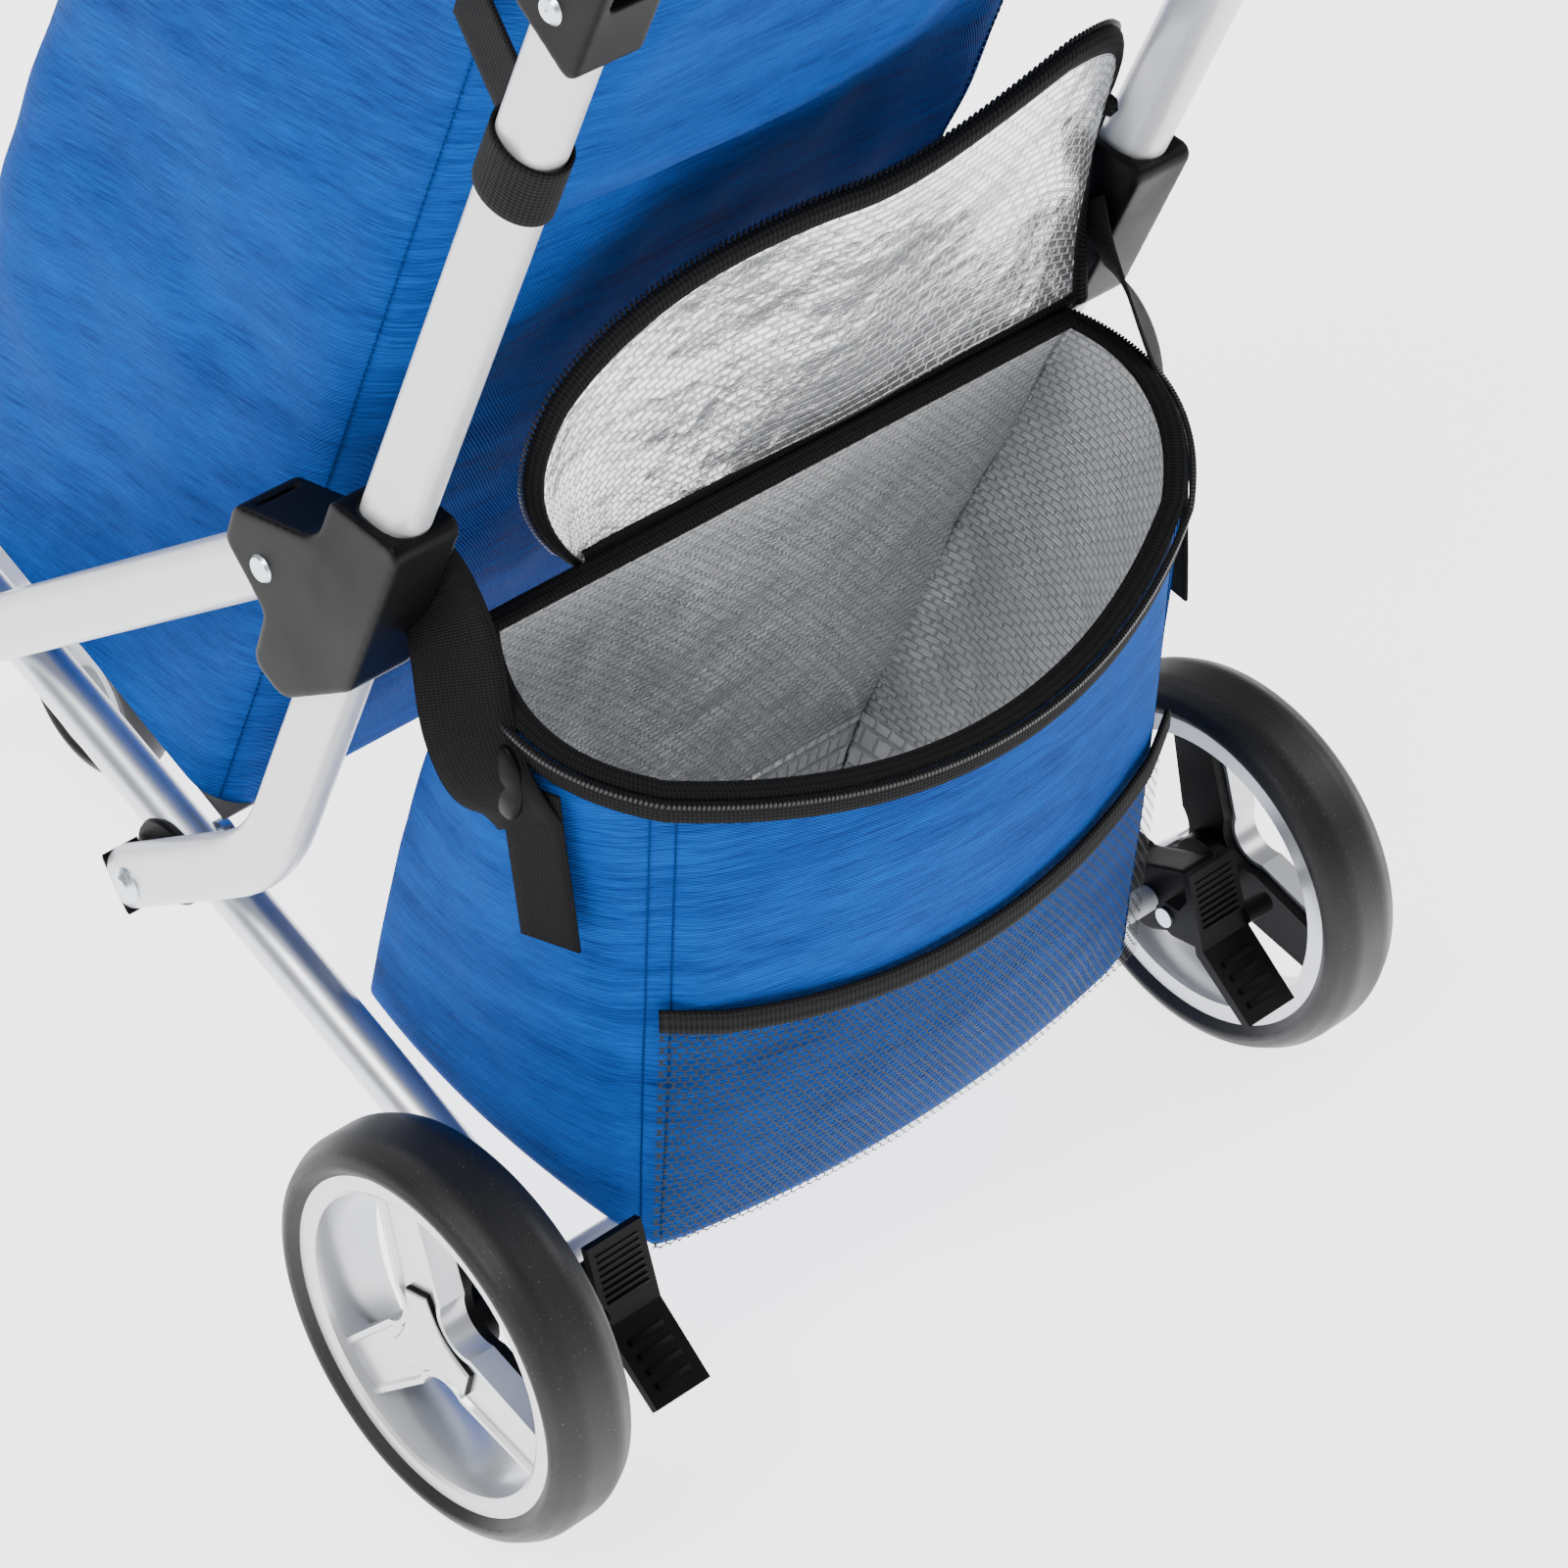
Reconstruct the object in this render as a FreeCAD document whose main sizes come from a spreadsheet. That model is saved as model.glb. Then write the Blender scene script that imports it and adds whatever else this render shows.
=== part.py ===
import FreeCAD, Part
import math
import os
import re
import Sketcher

# Folding shopping trolley with a main bag, a cooler bag behind it, two large braked rear
# wheels and a central twin-wheel front caster.
# Millimetres. +Z up, +Y the way it is pushed, X across. The origin is on the floor under the
# middle of the whole trolley. The rear axle lies axle_setback behind the origin.

doc = FreeCAD.newDocument("ShoppingTrolley")
V = FreeCAD.Vector

# ---------------------------------------------------------------- driving dimensions
SIZES = {
    # rear axle and wheels
    "axle_setback": 180.0, "wheel_radius": 100.0, "wheel_width": 46.0, "wheel_side": 241.0,
    "rim_radius": 84.0, "rim_width": 36.0, "axle_radius": 5.0, "axle_half": 257.0,
    "hub_radius": 17.0, "spoke_thick": 10.0, "cap_radius": 15.0, "fit": 0.05,
    "sleeve_radius": 6.5,
    # side tubes
    "frame_side": 209.0, "tube_deep": 30.5, "tube_wide": 22.0, "tube_wall": 1.5, "gap": 0.3,
    "lean": 23.46, "pivot_forward": 250.0, "pivot_up": 187.0, "bend_back": 62.3,
    "bend_rise": 99.4, "bend_radius": 120.0, "foot_ratio": 0.12, "joint_rise": 672.4,
    "tube_top": 684.4, "bolt_radius": 4.0, "head_radius": 8.5,
    # platform under the bag
    "platform_side": 180.0, "platform_tilt": 21.72, "platform_tube": 12.0,
    "platform_back": 250.0, "platform_front": 238.0, "platform_corner": 50.0,
    "leg_pivot_run": 151.34,
    # front leg and sliding hubs
    "hub_back": 20.1, "hub_rise": 280.3, "leg_drop": 35.53, "leg_run": 332.5,
    "leg_length": 535.8, "leg_corner": 75.0, "leg_top": 8.0, "hub_half": 17.0,
    # handle
    "handle_rise": 717.4, "handle_lean": 40.0, "handle_length": 171.6, "handle_corner": 45.0,
    "handle_deep": 27.0, "handle_wide": 20.0, "grip_radius": 17.0, "grip_half": 120.0,
    "joint_half": 16.0,
    # front caster
    "caster_forward": 530.0, "caster_radius": 50.0, "caster_width": 28.0, "caster_side": 40.0,
    "trail": 26.0, "stem_radius": 6.0, "caster_axle": 4.0, "fork_half": 23.0,
    # bags
    "bag_half": 175.0, "bag_back": 6.0, "bag_front": 234.0, "bag_low": 14.5, "bag_high": 604.0,
    "bag_wall": 3.0, "bag_corner": 30.0, "cooler_wall": 4.0, "lid_thick": 5.0,
    "rim_hinge_y": 50.0, "rim_hinge_z": 418.0, "rim_slope": 0.5, "lid_open": 114.0,
    "floor_y": -34.0, "floor_z": 102.0, "floor_slope": 0.185,
}
sheet = doc.addObject("Spreadsheet::Sheet", "Sheet")
for row, (alias, number) in enumerate(SIZES.items(), start=1):
    sheet.set(f"A{row}", alias)
    sheet.set(f"B{row}", str(number))
    sheet.setAlias(f"B{row}", alias)
scratch = doc.addObject("Spreadsheet::Sheet", "Scratch")
doc.recompute()


# ---------------------------------------------------------------- expressions on the sheet
def bound(text):
    """An expression whose words are the sheet's names."""
    return re.sub(r"[a-z_]+", lambda m: "Sheet." + m.group() if m.group() in SIZES else m.group(),
                  str(text))


def value(text):
    """The number that such an expression has now."""
    scratch.set("A1", "=" + bound(text))
    scratch.recompute()
    return float(scratch.get("A1"))


def bind(thing, prop, text):
    thing.setExpression(prop, bound(text))


# ---------------------------------------------------------------- bodies and sketches
def new_body(label, x="0", y="0", z="0", turn="0"):
    """A body placed in the trolley's frame and turned about X."""
    body = doc.addObject("PartDesign::Body", label)
    body.Label = label
    body.Placement = FreeCAD.Placement(V(0, 0, 0), FreeCAD.Rotation(V(1, 0, 0), value(turn)))
    if str(turn) != "0":
        bind(body, "Placement.Rotation.Angle", turn)
    for axis, text in zip("xyz", (x, y, z)):
        bind(body, f"Placement.Base.{axis}", text)
    return body


def new_sketch(body, plane, away="0", turn="0"):
    """A sketch on one of the body's own planes, moved along its normal and turned in it."""
    sketch = body.newObject("Sketcher::SketchObject", body.Label + "_sketch")
    face = [f for f in body.Origin.OriginFeatures if f.Role == plane + "_Plane"][0]
    sketch.AttachmentSupport = (face, [""])
    sketch.MapMode = "FlatFace"
    sketch.AttachmentOffset = FreeCAD.Placement(
        V(0, 0, 0), FreeCAD.Rotation(V(0, 0, 1), value(turn)))
    if str(turn) != "0":
        bind(sketch, "AttachmentOffset.Rotation.Angle", turn)
    bind(sketch, "AttachmentOffset.Base.z", away)
    return sketch


def pin_point(sketch, index, place, across, up):
    """Hold one point of the sketch at two expressions measured from its origin."""
    for kind, text in (("DistanceX", across), ("DistanceY", up)):
        number = sketch.addConstraint(
            Sketcher.Constraint(kind, -1, 1, index, place, value(text)))
        bind(sketch, f"Constraints[{number}]", text)


def corner_run(before, corner, after, radius):
    """Where a round corner leaves its two straight runs."""
    one, two = (before - corner).normalize(), (after - corner).normalize()
    half = one.getAngle(two) / 2
    reach = radius / math.tan(half)
    middle = corner + (one + two).normalize() * (radius / math.sin(half))
    return corner + one * reach, corner + two * reach, middle


def outline(sketch, corners, closed=True):
    """Straight runs between corners, each given as (across, up) or (across, up, radius)."""
    points = [V(value(c[0]), value(c[1]), 0) for c in corners]
    radii = [value(c[2]) if len(c) > 2 else 0.0 for c in corners]
    count = len(points)
    ends = []
    for i, point in enumerate(points):
        if radii[i] > 0:
            ends.append(corner_run(points[i - 1], point, points[(i + 1) % count], radii[i]))
        else:
            ends.append((point, point, None))
    lines, arcs = {}, {}
    for i, point in enumerate(points):
        enter, leave, middle = ends[i]
        if middle is not None:
            bulge = middle + (point - middle).normalize() * radii[i]
            leftward = (point - enter).cross(leave - point).z > 0
            arc = Part.Arc(enter, bulge, leave) if leftward else Part.Arc(leave, bulge, enter)
            arcs[i] = (sketch.addGeometry(arc, False), 1 if leftward else 2)
        if closed or i < count - 1:
            run = Part.LineSegment(leave, ends[(i + 1) % count][0])
            lines[i] = sketch.addGeometry(run, False)
    for i, point in enumerate(points):
        before, after = lines.get((i - 1) % count), lines.get(i)
        if radii[i] == 0:
            if before is not None and after is not None:
                sketch.addConstraint(Sketcher.Constraint("Coincident", before, 2, after, 1))
            index, place = (after, 1) if after is not None else (before, 2)
            pin_point(sketch, index, place, corners[i][0], corners[i][1])
            continue
        arc, start = arcs[i]
        mark = sketch.addGeometry(Part.Point(point), True)
        pin_point(sketch, mark, 1, corners[i][0], corners[i][1])
        for line in (before, after):
            sketch.addConstraint(Sketcher.Constraint("PointOnObject", mark, 1, line))
        sketch.addConstraint(Sketcher.Constraint("Tangent", before, 2, arc, start))
        sketch.addConstraint(Sketcher.Constraint("Tangent", after, 1, arc, 3 - start))
        number = sketch.addConstraint(Sketcher.Constraint("Radius", arc, radii[i]))
        bind(sketch, f"Constraints[{number}]", corners[i][2])
    return sketch


def ring(sketch, across, up, radius):
    """A circle."""
    index = sketch.addGeometry(Part.Circle(V(value(across), value(up), 0), V(0, 0, 1),
                                           value(radius)), False)
    pin_point(sketch, index, 3, across, up)
    number = sketch.addConstraint(Sketcher.Constraint("Radius", index, value(radius)))
    bind(sketch, f"Constraints[{number}]", radius)
    return sketch


def oval(sketch, across, up, wide, deep, shrink="0"):
    """The section of a flat-sided oval tube."""
    half_wide = f"(({wide}) / 2 - ({shrink}))"
    half_deep = f"(({deep}) / 2 - ({shrink}))"
    radius = f"{half_wide} * 0.93"
    if value(deep) < value(wide):
        radius = f"{half_deep} * 0.93"
    return outline(sketch, [
        (f"({across}) + {sx} * {half_wide}", f"({up}) + {sy} * {half_deep}", radius)
        for sx, sy in ((-1, -1), (1, -1), (1, 1), (-1, 1))])


def pad(body, sketch, length, both=True):
    feature = body.newObject("PartDesign::Pad", body.Label + "_pad")
    feature.Profile = sketch
    feature.SideType = "Symmetric" if both else "One side"
    bind(feature, "Length", length)
    return feature


def cut(body, sketch, length, both=True, back=False):
    """A pocket that has to take material away."""
    doc.recompute()
    before = body.Shape.Volume
    feature = body.newObject("PartDesign::Pocket", body.Label + "_cut")
    feature.Profile = sketch
    feature.SideType = "Symmetric" if both else "One side"
    feature.Reversed = back
    bind(feature, "Length", length)
    doc.recompute()
    if body.Shape.Volume > before - 1.0:
        raise RuntimeError(f"{body.Label}: a cut took nothing away")
    return feature


def revolve(body, sketch, axis="H_Axis"):
    feature = body.newObject("PartDesign::Revolution", body.Label + "_turned")
    feature.Profile = sketch
    feature.ReferenceAxis = (sketch, [axis])
    feature.Angle = 360.0
    return feature


def turned(label, corners, **place):
    """A piece turned about X: corners are (along X, radius, rounding)."""
    body = new_body(label, **place)
    revolve(body, outline(new_sketch(body, "XY"), corners))
    return body


def bent_tube(body, path, section):
    """A hollow tube along its path; the section holds the outer and the inner outline."""
    feature = body.newObject("PartDesign::AdditivePipe", body.Label + "_tube")
    feature.Profile = section
    feature.Spine = (path, [])
    return feature


def drilled(body, across, up, radius, length="60", away="0"):
    """A round hole along X."""
    cut(body, ring(new_sketch(body, "YZ", away), across, up, radius), length)


def freeform(label, shape):
    """A sewn piece, whose shape is made directly."""
    feature = doc.addObject("Part::Feature", label)
    feature.Label = label
    feature.Shape = shape
    moved = FreeCAD.Placement(V(0, -value("axle_setback"), 0), FreeCAD.Rotation())
    feature.Placement = moved.multiply(shape.Placement)
    return feature


SIDES = (("left", -1), ("right", 1))


def on_frame(forward, up):
    """The Y and Z of a point measured from the lower pivot along the leaning side tubes."""
    return (f"pivot_forward - axle_setback + ({forward}) * cos(lean) - ({up}) * sin(lean)",
            f"pivot_up + ({forward}) * sin(lean) + ({up}) * cos(lean)")


AT_PIVOT = dict(y="pivot_forward - axle_setback", z="pivot_up")
AT_AXLE = dict(y="-axle_setback", z="wheel_radius")
HUB_Y, HUB_Z = on_frame("-hub_back", "hub_rise")
HANDLE_Y, HANDLE_Z = on_frame("-bend_back", "handle_rise")


# ---------------------------------------------------------------- side tubes and their ends
def side_tube(name, sign):
    """The main tube: straight from the top joint down, then bent forward to the lower pivot."""
    body = new_body("side_tube_" + name, x=f"{sign} * frame_side", turn="lean", **AT_PIVOT)
    path = outline(new_sketch(body, "YZ"), [
        ("-bend_back", "tube_top"),
        ("-bend_back", "bend_rise", "bend_radius"),
        ("bend_back * foot_ratio", "-bend_rise * foot_ratio")], closed=False)
    section = new_sketch(body, "XY", "tube_top")
    for shrink in ("0", "tube_wall"):
        oval(section, "0", "-bend_back", "tube_wide", "tube_deep", shrink)
    bent_tube(body, path, section)
    drilled(body, "0", "0", "bolt_radius")
    return body


def foot_plug(name, sign):
    """The thin domed plug that closes the tube's bent end."""
    body = new_body("foot_plug_" + name, x=f"{sign} * frame_side", turn="lean", **AT_PIVOT)
    slope = "atan(bend_back / bend_rise)"
    along = "foot_ratio * bend_back / sin(" + slope + ")"
    half = "tube_deep / 2"
    turn = slope + " - 90 deg"
    sketch = new_sketch(body, "YZ", turn=turn)
    outline(sketch, [
        (along, f"-{half} + 0.4"), (along, f"-{half}"), (f"{along} + 1.2", f"-{half} + 2"),
        (f"{along} + 2", "0"), (f"{along} + 1.2", f"{half} - 2"), (along, half),
        (along, f"{half} - 0.4")])
    pad(body, sketch, "tube_wide - 2")
    return body


def pivot_bolt(name, sign):
    """The bolt of the lower pivot, with its nut: through side tube, spacer and platform."""
    return turned("pivot_bolt_" + name, [
        (f"{sign} * (frame_side + tube_wide / 2 + 4)", "0"),
        (f"{sign} * (frame_side + tube_wide / 2 + 4)", "head_radius - 4"),
        (f"{sign} * (frame_side + tube_wide / 2 + 1)", "head_radius"),
        (f"{sign} * (frame_side + tube_wide / 2)", "head_radius"),
        (f"{sign} * (frame_side + tube_wide / 2)", "bolt_radius"),
        (f"{sign} * (platform_side - platform_tube - 0.5)", "bolt_radius"),
        (f"{sign} * (platform_side - platform_tube - 0.5)", "7"),
        (f"{sign} * (platform_side - platform_tube - 6)", "7"),
        (f"{sign} * (platform_side - platform_tube - 6)", "0")], **AT_PIVOT)


def pivot_spacer(name, sign):
    """The moulded washer between side tube and platform tube."""
    inner, outer = "platform_side + platform_tube + gap", "frame_side - tube_wide / 2"
    return turned("pivot_spacer_" + name, [
        (f"{sign} * ({inner})", "bolt_radius"), (f"{sign} * ({outer})", "bolt_radius"),
        (f"{sign} * ({outer})", "21"), (f"{sign} * ({outer} - 2)", "22"),
        (f"{sign} * ({inner})", "20")], **AT_PIVOT)


# ---------------------------------------------------------------- top joints and handle
def top_joint(name, sign):
    """The moulded fork clamped on the side tube's top, which carries the handle's pivot."""
    body = new_body("top_joint_" + name, x=f"{sign} * frame_side", turn="lean", **AT_PIVOT)
    side = outline(new_sketch(body, "YZ"), [
        ("-bend_back - 20", "joint_rise - 22", "6"), ("-bend_back + 19", "joint_rise - 12", "6"),
        ("-bend_back + 20", "handle_rise + 6", "14"), ("-bend_back + 4", "handle_rise + 22", "14"),
        ("-bend_back - 21", "handle_rise + 14", "14")])
    pad(body, side, "joint_half * 2")
    bore = oval(new_sketch(body, "XY", "joint_rise - 30"), "0", "-bend_back", "tube_wide",
                "tube_deep")
    cut(body, bore, "tube_top - joint_rise + 30", both=False, back=True)
    slot = outline(new_sketch(body, "YZ"), [
        ("-bend_back - 40", "tube_top + 4"), ("-bend_back + 40", "tube_top + 4"),
        ("-bend_back + 40", "handle_rise + 40"), ("-bend_back - 40", "handle_rise + 40")])
    cut(body, slot, "handle_wide + 2 * gap")
    drilled(body, "-bend_back", "handle_rise", "bolt_radius")
    drilled(body, "-bend_back - 2", "tube_top - 8", "7.5 + 2 * fit", "9.2",
            f"{sign} * -joint_half")
    return body


def joint_screw(name, sign):
    """The pan-head screw that fixes the top joint to its tube, on the outer face."""
    y, z = on_frame("-bend_back", "joint_rise")
    face = "frame_side + joint_half"
    return turned("joint_screw_" + name, [
        (f"{sign} * ({face})", "0"), (f"{sign} * ({face})", "6"),
        (f"{sign} * ({face} + 1.6)", "4.5"), (f"{sign} * ({face} + 2.2)", "0")], y=y, z=z)


def handle_pin(name, sign):
    """The pivot pin of the handle, held in the joint's two cheeks."""
    return turned("handle_pin_" + name, [
        (f"{sign} * (frame_side - joint_half - 1)", "0"),
        (f"{sign} * (frame_side - joint_half - 1)", "bolt_radius - 1"),
        (f"{sign} * (frame_side - joint_half)", "bolt_radius"),
        (f"{sign} * (frame_side + joint_half)", "bolt_radius"),
        (f"{sign} * (frame_side + joint_half)", "9"),
        (f"{sign} * (frame_side + joint_half + 3)", "7"),
        (f"{sign} * (frame_side + joint_half + 3)", "0")], y=HANDLE_Y, z=HANDLE_Z)


def handle_tube():
    """The U-shaped handle tube, in one piece from joint to joint."""
    body = new_body("handle_tube", y=HANDLE_Y, z=HANDLE_Z, turn="handle_lean")
    path = outline(new_sketch(body, "XZ"), [
        ("-frame_side", "-10"), ("-frame_side", "handle_length", "handle_corner"),
        ("frame_side", "handle_length", "handle_corner"), ("frame_side", "-10")], closed=False)
    section = new_sketch(body, "XY", "-10")
    for shrink in ("0", "tube_wall"):
        oval(section, "-frame_side", "0", "handle_wide", "handle_deep", shrink)
    bent_tube(body, path, section)
    drilled(body, "0", "0", "bolt_radius + fit", "frame_side * 2 + 60")
    return body


def handle_grip():
    """The foam sleeve on the handle's bar."""
    body = new_body("handle_grip", y=HANDLE_Y, z=HANDLE_Z, turn="handle_lean")
    pad(body, ring(new_sketch(body, "YZ"), "0", "handle_length", "grip_radius"),
        "grip_half * 2")
    bore = oval(new_sketch(body, "YZ"), "0", "handle_length", "handle_deep", "handle_wide")
    cut(body, bore, "grip_half * 3")
    return body


def handle_button(name, sign):
    """The sprung button in the inner cheek's face that frees the handle."""
    inner = "frame_side - joint_half"
    y, z = on_frame("-bend_back - 2", "tube_top - 8")
    return turned("handle_button_" + name, [
        (f"{sign} * ({inner} - 0.3)", "0"), (f"{sign} * ({inner} - 0.3)", "7.5"),
        (f"{sign} * ({inner} - 4)", "7.5"), (f"{sign} * ({inner} - 6)", "5"),
        (f"{sign} * ({inner} - 6)", "0")], y=y, z=z)


# ---------------------------------------------------------------- sliding hubs
def hub(name, sign):
    """The moulded slider on the side tube; its forward lobe holds the front leg's pivot."""
    body = new_body("hub_" + name, x=f"{sign} * frame_side", y=HUB_Y, z=HUB_Z, turn="lean")
    tube = "(bend_back - hub_back)"
    side = outline(new_sketch(body, "YZ"), [
        ("24", "-8", "6"), ("25", "14", "8"), ("2", "30", "12"), (f"-{tube} + 21", "46", "20"),
        (f"-{tube} + 21", "74", "5"), (f"-{tube} - 21", "88", "6"),
        (f"-{tube} - 21", "-10", "14"), ("-32", "-56", "12"), ("-10", "-54", "8"),
        ("-8", "-22", "8")])
    pad(body, side, "hub_half * 2")
    bore = oval(new_sketch(body, "XY", "-120"), "0", f"-{tube}", "tube_wide + 2 * gap",
                "tube_deep + 2 * gap")
    cut(body, bore, "260", both=False, back=True)
    slot = outline(new_sketch(body, "YZ"), [
        ("-18.5", "18.5"), ("18.5", "18.5"), ("18.5", "2"), ("34", "-6"), ("34", "-90"),
        ("-18.5", "-90")])
    cut(body, slot, "tube_wide + 2 * gap")
    drilled(body, "0", "0", "bolt_radius")
    well = outline(new_sketch(body, "YZ"), [
        ("-24.8", "-30"), ("-18", "-30"), ("-18", "-80"), ("-24.8", "-80")])
    cut(body, well, "14")
    return body


def hub_rivet(name, sign):
    """The rivet through the hub's lobe, on which the front leg turns."""
    return turned("hub_rivet_" + name, [
        (f"{sign} * (frame_side - hub_half - 1.5)", "0"),
        (f"{sign} * (frame_side - hub_half - 1.5)", "6.5"),
        (f"{sign} * (frame_side - hub_half)", "6.5"),
        (f"{sign} * (frame_side - hub_half)", "bolt_radius"),
        (f"{sign} * (frame_side + hub_half)", "bolt_radius"),
        (f"{sign} * (frame_side + hub_half)", "6.5"),
        (f"{sign} * (frame_side + hub_half + 1.5)", "5.5"),
        (f"{sign} * (frame_side + hub_half + 1.5)", "0")], y=HUB_Y, z=HUB_Z)


def release_button(name, sign):
    """The sprung catch under the hub that frees the fold."""
    body = new_body("release_button_" + name, x=f"{sign} * frame_side", y=HUB_Y, z=HUB_Z,
                    turn="lean")
    side = outline(new_sketch(body, "YZ"), [
        ("-24.4", "-36"), ("-18.2", "-36"), ("-14.5", "-46", "3"), ("-14.5", "-57", "3"),
        ("-24.4", "-57", "3")])
    pad(body, side, "13")
    return body


# ---------------------------------------------------------------- platform
def platform_tube():
    """The U-shaped tube that the main bag stands on, from the rear axle to the front bar."""
    body = new_body("platform_tube", turn="platform_tilt", **AT_PIVOT)
    path = outline(new_sketch(body, "XY"), [
        ("-platform_side", "-platform_back"),
        ("-platform_side", "platform_front", "platform_corner"),
        ("platform_side", "platform_front", "platform_corner"),
        ("platform_side", "-platform_back")], closed=False)
    section = new_sketch(body, "XZ", "platform_back")
    for radius in ("platform_tube", "platform_tube - tube_wall"):
        ring(section, "-platform_side", "0", radius)
    bent_tube(body, path, section)
    drilled(body, "0", "0", "bolt_radius + fit", "platform_side * 2 + 60")
    drilled(body, "leg_pivot_run", "0", "bolt_radius", "platform_side * 2 + 60")
    drilled(body, "-platform_back + 20", "0", "3", "platform_side * 2 + 60")
    return body


def rear_bracket(name, sign):
    """The moulded bracket that joins platform tube, axle and brake pedal."""
    inner, wide = "platform_side + platform_tube + gap", "19"
    body = new_body("rear_bracket_" + name, x=f"{sign} * ({inner} + {wide} / 2)", **AT_AXLE)
    side = outline(new_sketch(body, "YZ"), [
        ("-16", "-12", "8"), ("0", "-20", "8"), ("22", "-19", "8"), ("58", "-2", "8"),
        ("52", "22", "8"), ("14", "14", "8"), ("-20", "28", "6"), ("-37", "28", "7"),
        ("-37", "10", "7")])
    pad(body, side, wide)
    drilled(body, "0", "0", "axle_radius")
    drilled(body, "-30", "18", "3")
    drilled(body, RIVET_Y, RIVET_Z, "3")
    return body


RIVET_Y = "pivot_forward - (platform_back - 20) * cos(platform_tilt)"
RIVET_Z = "pivot_up - wheel_radius - (platform_back - 20) * sin(platform_tilt)"


def bracket_rivet(name, sign):
    """The eyelet rivet through bracket and platform tube."""
    outer = "platform_side + platform_tube + gap + 19"
    inner = "platform_side - platform_tube"
    return turned("bracket_rivet_" + name, [
        (f"{sign} * ({inner} - 1.5)", "0"), (f"{sign} * ({inner} - 1.5)", "6.5"),
        (f"{sign} * ({inner})", "6.5"), (f"{sign} * ({inner})", "3"),
        (f"{sign} * ({outer})", "3"), (f"{sign} * ({outer})", "6.5"),
        (f"{sign} * ({outer} + 1.5)", "5.5"), (f"{sign} * ({outer} + 1.5)", "0")],
        y=f"{RIVET_Y} - axle_setback", z=f"{RIVET_Z} + wheel_radius")


def leg_pivot_nut(name, sign):
    """The inner half of the leg's pivot: a shouldered nut in the platform tube."""
    y = "pivot_forward - axle_setback + leg_pivot_run * cos(platform_tilt)"
    z = "pivot_up + leg_pivot_run * sin(platform_tilt)"
    return turned("leg_pivot_nut_" + name, [
        (f"{sign} * (platform_side + platform_tube - 0.4)", "0"),
        (f"{sign} * (platform_side + platform_tube - 0.4)", "bolt_radius"),
        (f"{sign} * (platform_side - platform_tube)", "bolt_radius"),
        (f"{sign} * (platform_side - platform_tube)", "7"),
        (f"{sign} * (platform_side - platform_tube - 5)", "7"),
        (f"{sign} * (platform_side - platform_tube - 5)", "0")], y=y, z=z)


def brake_pedal(name, sign):
    """The foot pedal: two ribbed plates on a barrel that rocks on the bracket's pin."""
    body = new_body("brake_pedal_" + name, x=f"{sign} * 185.5", **AT_AXLE)
    plates = outline(new_sketch(body, "YZ"), [
        ("-40", "50"), ("-44", "51"), ("-56", "13"), ("-88", "-13"), ("-85", "-16.5"),
        ("-52", "8.5")])
    pad(body, plates, "31")
    arm = outline(new_sketch(body, "YZ", f"{sign} * -3.9"), [
        ("-22", "16", "6"), ("-26", "26", "5"), ("-38", "26"), ("-46", "40"), ("-54", "12"),
        ("-34", "9", "6")])
    pad(body, arm, "20.2")
    drilled(body, "-30", "18", "3 + fit")
    pin = ring(new_sketch(body, "YZ", f"{sign} * 22"), "-53", "17", "5")
    pad(body, pin, "16")
    return body


def pedal_pin(name, sign):
    """The pin in the bracket that the pedal rocks on."""
    return turned("pedal_pin_" + name, [
        (f"{sign} * 169.8", "0"), (f"{sign} * 169.8", "5"), (f"{sign} * 171.2", "5"),
        (f"{sign} * 171.2", "3"), (f"{sign} * 211.3", "3"), (f"{sign} * 211.3", "0")],
        y="-axle_setback - 30", z="wheel_radius + 18")


# ---------------------------------------------------------------- wheels
def tyre(label, radius, bore, width, **place):
    """A solid tyre with rounded shoulders."""
    half = f"({width}) / 2"
    return turned(label, [
        (f"-{half} + 5", bore), (f"{half} - 5", bore), (half, f"({bore}) + 5", "3"),
        (f"{half} * 0.86", f"{radius} - 5", "8"), (f"{half} * 0.45", radius, "14"),
        (f"-{half} * 0.45", radius, "14"), (f"-{half} * 0.86", f"{radius} - 5", "8"),
        (f"-{half}", f"({bore}) + 5", "3")], **place)


def rim(name, sign):
    """The moulded rim: a ring, three wide spokes and a hub that turns on the axle."""
    body = new_body("wheel_rim_" + name, x=f"{sign} * wheel_side", **AT_AXLE)
    half = "rim_width / 2"
    ring_section = outline(new_sketch(body, "XY"), [
        (f"-{half}", "rim_radius - 9"), (f"-{half}", "rim_radius"), (half, "rim_radius"),
        (half, "rim_radius - 9"), ("4", "rim_radius - 14"), ("-4", "rim_radius - 14")])
    revolve(body, ring_section)
    core = outline(new_sketch(body, "XY"), [
        (f"{sign} * -14", "axle_radius + fit"), (f"{sign} * 11", "axle_radius + fit"),
        (f"{sign} * 11", "hub_radius"), (f"{sign} * -14", "hub_radius")])
    revolve(body, core)
    spoke = outline(new_sketch(body, "YZ"), [
        ("-12", "hub_radius - 5"), ("12", "hub_radius - 5"), ("10", "rim_radius - 40"),
        ("24", "rim_radius - 14"), ("-24", "rim_radius - 14"), ("-10", "rim_radius - 40")])
    first = pad(body, spoke, "spoke_thick")
    spokes = body.newObject("PartDesign::PolarPattern", body.Label + "_spokes")
    spokes.Originals = [first]
    spokes.Axis = (spoke, ["N_Axis"])
    spokes.Angle = 360.0
    spokes.Occurrences = 3
    body.Tip = spokes
    return body


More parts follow.
